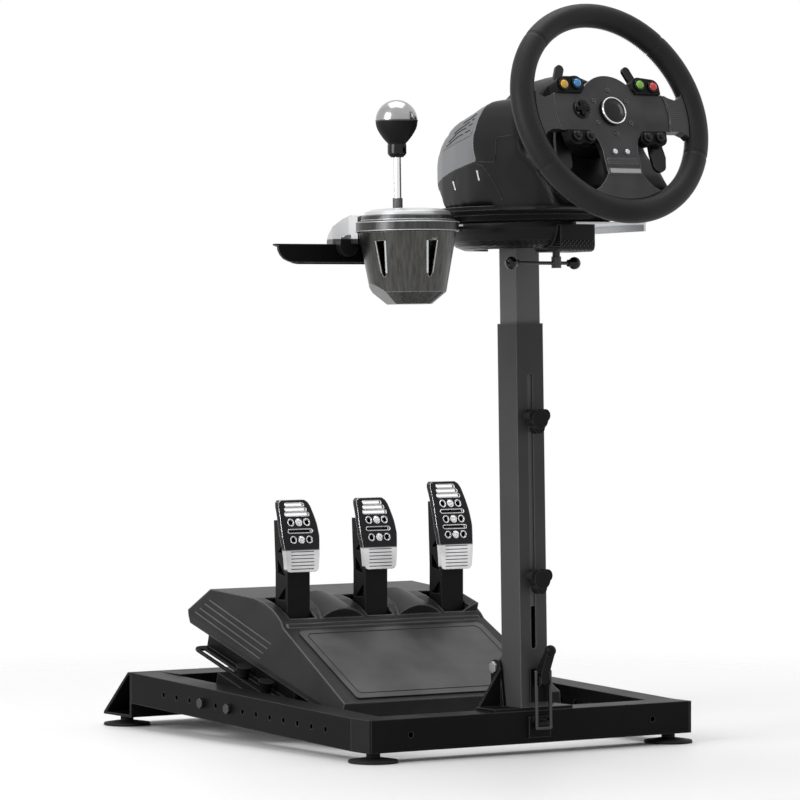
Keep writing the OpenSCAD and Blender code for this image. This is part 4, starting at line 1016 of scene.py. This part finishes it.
# %% Lips, screws and grip lines of the three pads
PAD_LOW = 95
GRIP_STEP, GRIP_TOP, GRIP_HALF = 4.4, 119, 17
pads = [("clutch", -1, 88, [28, 50]), ("brake", 0, 88, [28, 50]),
        ("throttle", 1, 106, [28, 48, 68])]
for body, k, height, rows in pads:
    place = pedal_plane(k)
    tree = surface_of(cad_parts[body + "_pad"])
    top = PAD_LOW + height
    forms = []
    for row in rows:
        forms += [ring_on(tree, place, x, top - row, 4.3, 0.8) for x in (-12, 0, 12)]
        forms.append(disc_on(tree, place, 0, top - row))
    for a, b in zip(rows, rows[1:]):
        forms.append(slot_on(tree, place, 16, top - (a + b) / 2, 2.5, 0.6))
    for j in range(3):
        forms.append(slot_on(tree, place, 12 + 2 * j, top - 6 - 6 * j, 2.4, 0.5))
    lines = []
    z = PAD_LOW - (7 if height > 90 else 3) + 4
    while z < GRIP_TOP:
        flat = [(x, y) for x, y, _ in dense([(-GRIP_HALF, z, 0), (GRIP_HALF, z, 0)], 3.0)]
        lines.append(wire(on_pad(tree, place, flat, 0.1), 0.65))
        z += GRIP_STEP
    keep(body + "_pad_lines", together(lines), place, body, dark_steel)
    keep(body + "_pad_relief", together([f for f in forms if f]), place, body, pad_chrome)
    print(body, "pad details:", len(forms), "lines:", len(lines))

# %% [markdown]
# ## The pedal housing
# Four fine ribs are moulded along each sloping side, painted paler than the shell as a
# highlight. The heel plate has a frame pressed into it, drawn here as a thin line that rays
# lay on the plate.

# %% Ribs of the sides
rib_ends = (((344.7, 40.3), (186.9, 35.7), 161), ((351.1, 33), (191.1, 28), 162.8),
            ((358.3, 24.5), (195.7, 20), 164.7), ((364.7, 17.2), (198.9, 11.9), 166.5))
ribs = [wire([(side * x, *start), (side * x, *end)], 1.0, sides=8)
        for side in (-1, 1) for start, end, x in rib_ends]
keep("side_ribs", together(ribs), PEDALS, "pedal_set", rib_highlight)

# %% Frame of the heel plate
heel_tree = surface_of(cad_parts["heel_plate"])
frame_line = [(-128, 20, 200), (128, 20, 200), (132, 24, 200), (132, 150, 200), (127, 156, 200),
              (-127, 156, 200), (-132, 150, 200), (-132, 24, 200)]
line = pressed(heel_tree, dense(frame_line, 4.0, True), PEDALS, (0, 0, -1), lift=0.1)
keep("heel_frame", wire(line, 0.5, closed=True), PEDALS, "pedal_set", plastic)
print("housing ribs:", len(ribs), "frame points:", len(line))

# %% [markdown]
# ## Camera, floor and light
# The camera stands where the photographer stood: just above the middle of the stand, more
# than five and a half metres away, with a long lens, so the uprights stay nearly parallel.
# The floor is pale and fades out into a white world, which leaves only the soft shadow.

# %% The camera
def aim(position, forward, lens):
    data = bpy.data.cameras.new("camera")
    data.sensor_width = 36
    data.lens = lens
    data.clip_start, data.clip_end = 0.1, 60
    made = bpy.data.objects.new("camera", data)
    bpy.context.collection.objects.link(made)
    made.location = position
    made.rotation_mode = "QUATERNION"
    made.rotation_quaternion = Vector(forward).to_track_quat("-Z", "Y")
    bpy.context.scene.camera = made
    return made


camera = aim((-3.19835, -4.77266, 0.5664), (0.5571, 0.8301, -0.0236), 205.95)
print("camera to the stand's middle:", round((camera.location - ROW.translation).length, 2), "m")

# %% The floor
FLOOR_HALF = 3
FADE = (0.75, 1.5)


def floor_material():
    mat = bpy.data.materials.new("floor")
    mat.use_nodes = True
    shader = mat.node_tree.nodes["Principled BSDF"]
    shader.inputs["Base Color"].default_value = (0.9, 0.9, 0.9, 1)
    shader.inputs["Roughness"].default_value = 0.55
    where = node(mat, "ShaderNodeTexCoord")
    far = node(mat, "ShaderNodeVectorMath", operation="LENGTH")
    link(mat, where, "Object", far, "Vector")
    mix = node(mat, "ShaderNodeMixShader")
    link(mat, ranged(mat, far, "Value", FADE), "Result", mix, "Fac")
    link(mat, shader, "BSDF", mix, 1)
    link(mat, node(mat, "ShaderNodeBsdfTransparent"), "BSDF", mix, 2)
    link(mat, mix, "Shader", mat.node_tree.nodes["Material Output"], "Surface")
    return mat


ground = bpy.data.meshes.new("floor")
corners = [(-1, -1), (1, -1), (1, 1), (-1, 1)]
ground.from_pydata([(FLOOR_HALF * x, FLOOR_HALF * y, 0) for x, y in corners], [], [(0, 1, 2, 3)])
floor = bpy.data.objects.new("floor", ground)
bpy.context.collection.objects.link(floor)
ground.materials.append(floor_material())

# %% The white surroundings
SKY_POWER = 0.42
world = bpy.data.worlds.new("studio")
bpy.context.scene.world = world
world.use_nodes = True
net = world.node_tree
sky = net.nodes["Background"]
white = net.nodes.new("ShaderNodeBackground")
for source, power in ((sky, SKY_POWER), (white, 1.0)):
    source.inputs["Color"].default_value = (1, 1, 1, 1)
    source.inputs["Strength"].default_value = power
rays = net.nodes.new("ShaderNodeLightPath")
blend = net.nodes.new("ShaderNodeMixShader")
before = rays.outputs["Is Camera Ray"]
for kind in ("Is Transmission Ray", "Is Glossy Ray"):
    either = net.nodes.new("ShaderNodeMath")
    either.operation = "MAXIMUM"
    net.links.new(before, either.inputs[0])
    net.links.new(rays.outputs[kind], either.inputs[1])
    before = either.outputs["Value"]
net.links.new(before, blend.inputs["Fac"])
net.links.new(sky.outputs["Background"], blend.inputs[1])
net.links.new(white.outputs["Background"], blend.inputs[2])
net.links.new(blend.outputs["Shader"], net.nodes["World Output"].inputs["Surface"])
print("surroundings: white to the camera, light of strength", SKY_POWER)

# %% The lamps
def softbox(name, place, target, size, power):
    data = bpy.data.lights.new(name, "AREA")
    data.shape = "RECTANGLE"
    data.size, data.size_y = size
    data.energy = power
    made = bpy.data.objects.new(name, data)
    bpy.context.collection.objects.link(made)
    made.location = place
    made.rotation_mode = "QUATERNION"
    made.rotation_quaternion = (Vector(target) - Vector(place)).to_track_quat("-Z", "Y")
    return made


softbox("key_left", (-3.4, -0.4, 1.7), (0, 0, 0.5), (1.6, 2.6), 95)
softbox("top", (0.2, 0.3, 3.2), (0, 0, 0.4), (2.2, 2.2), 48)
softbox("edge_right", (2.8, -1.2, 1.5), (0, -0.1, 0.6), (0.7, 2.4), 9)
bpy.context.scene.view_settings.view_transform = "Standard"
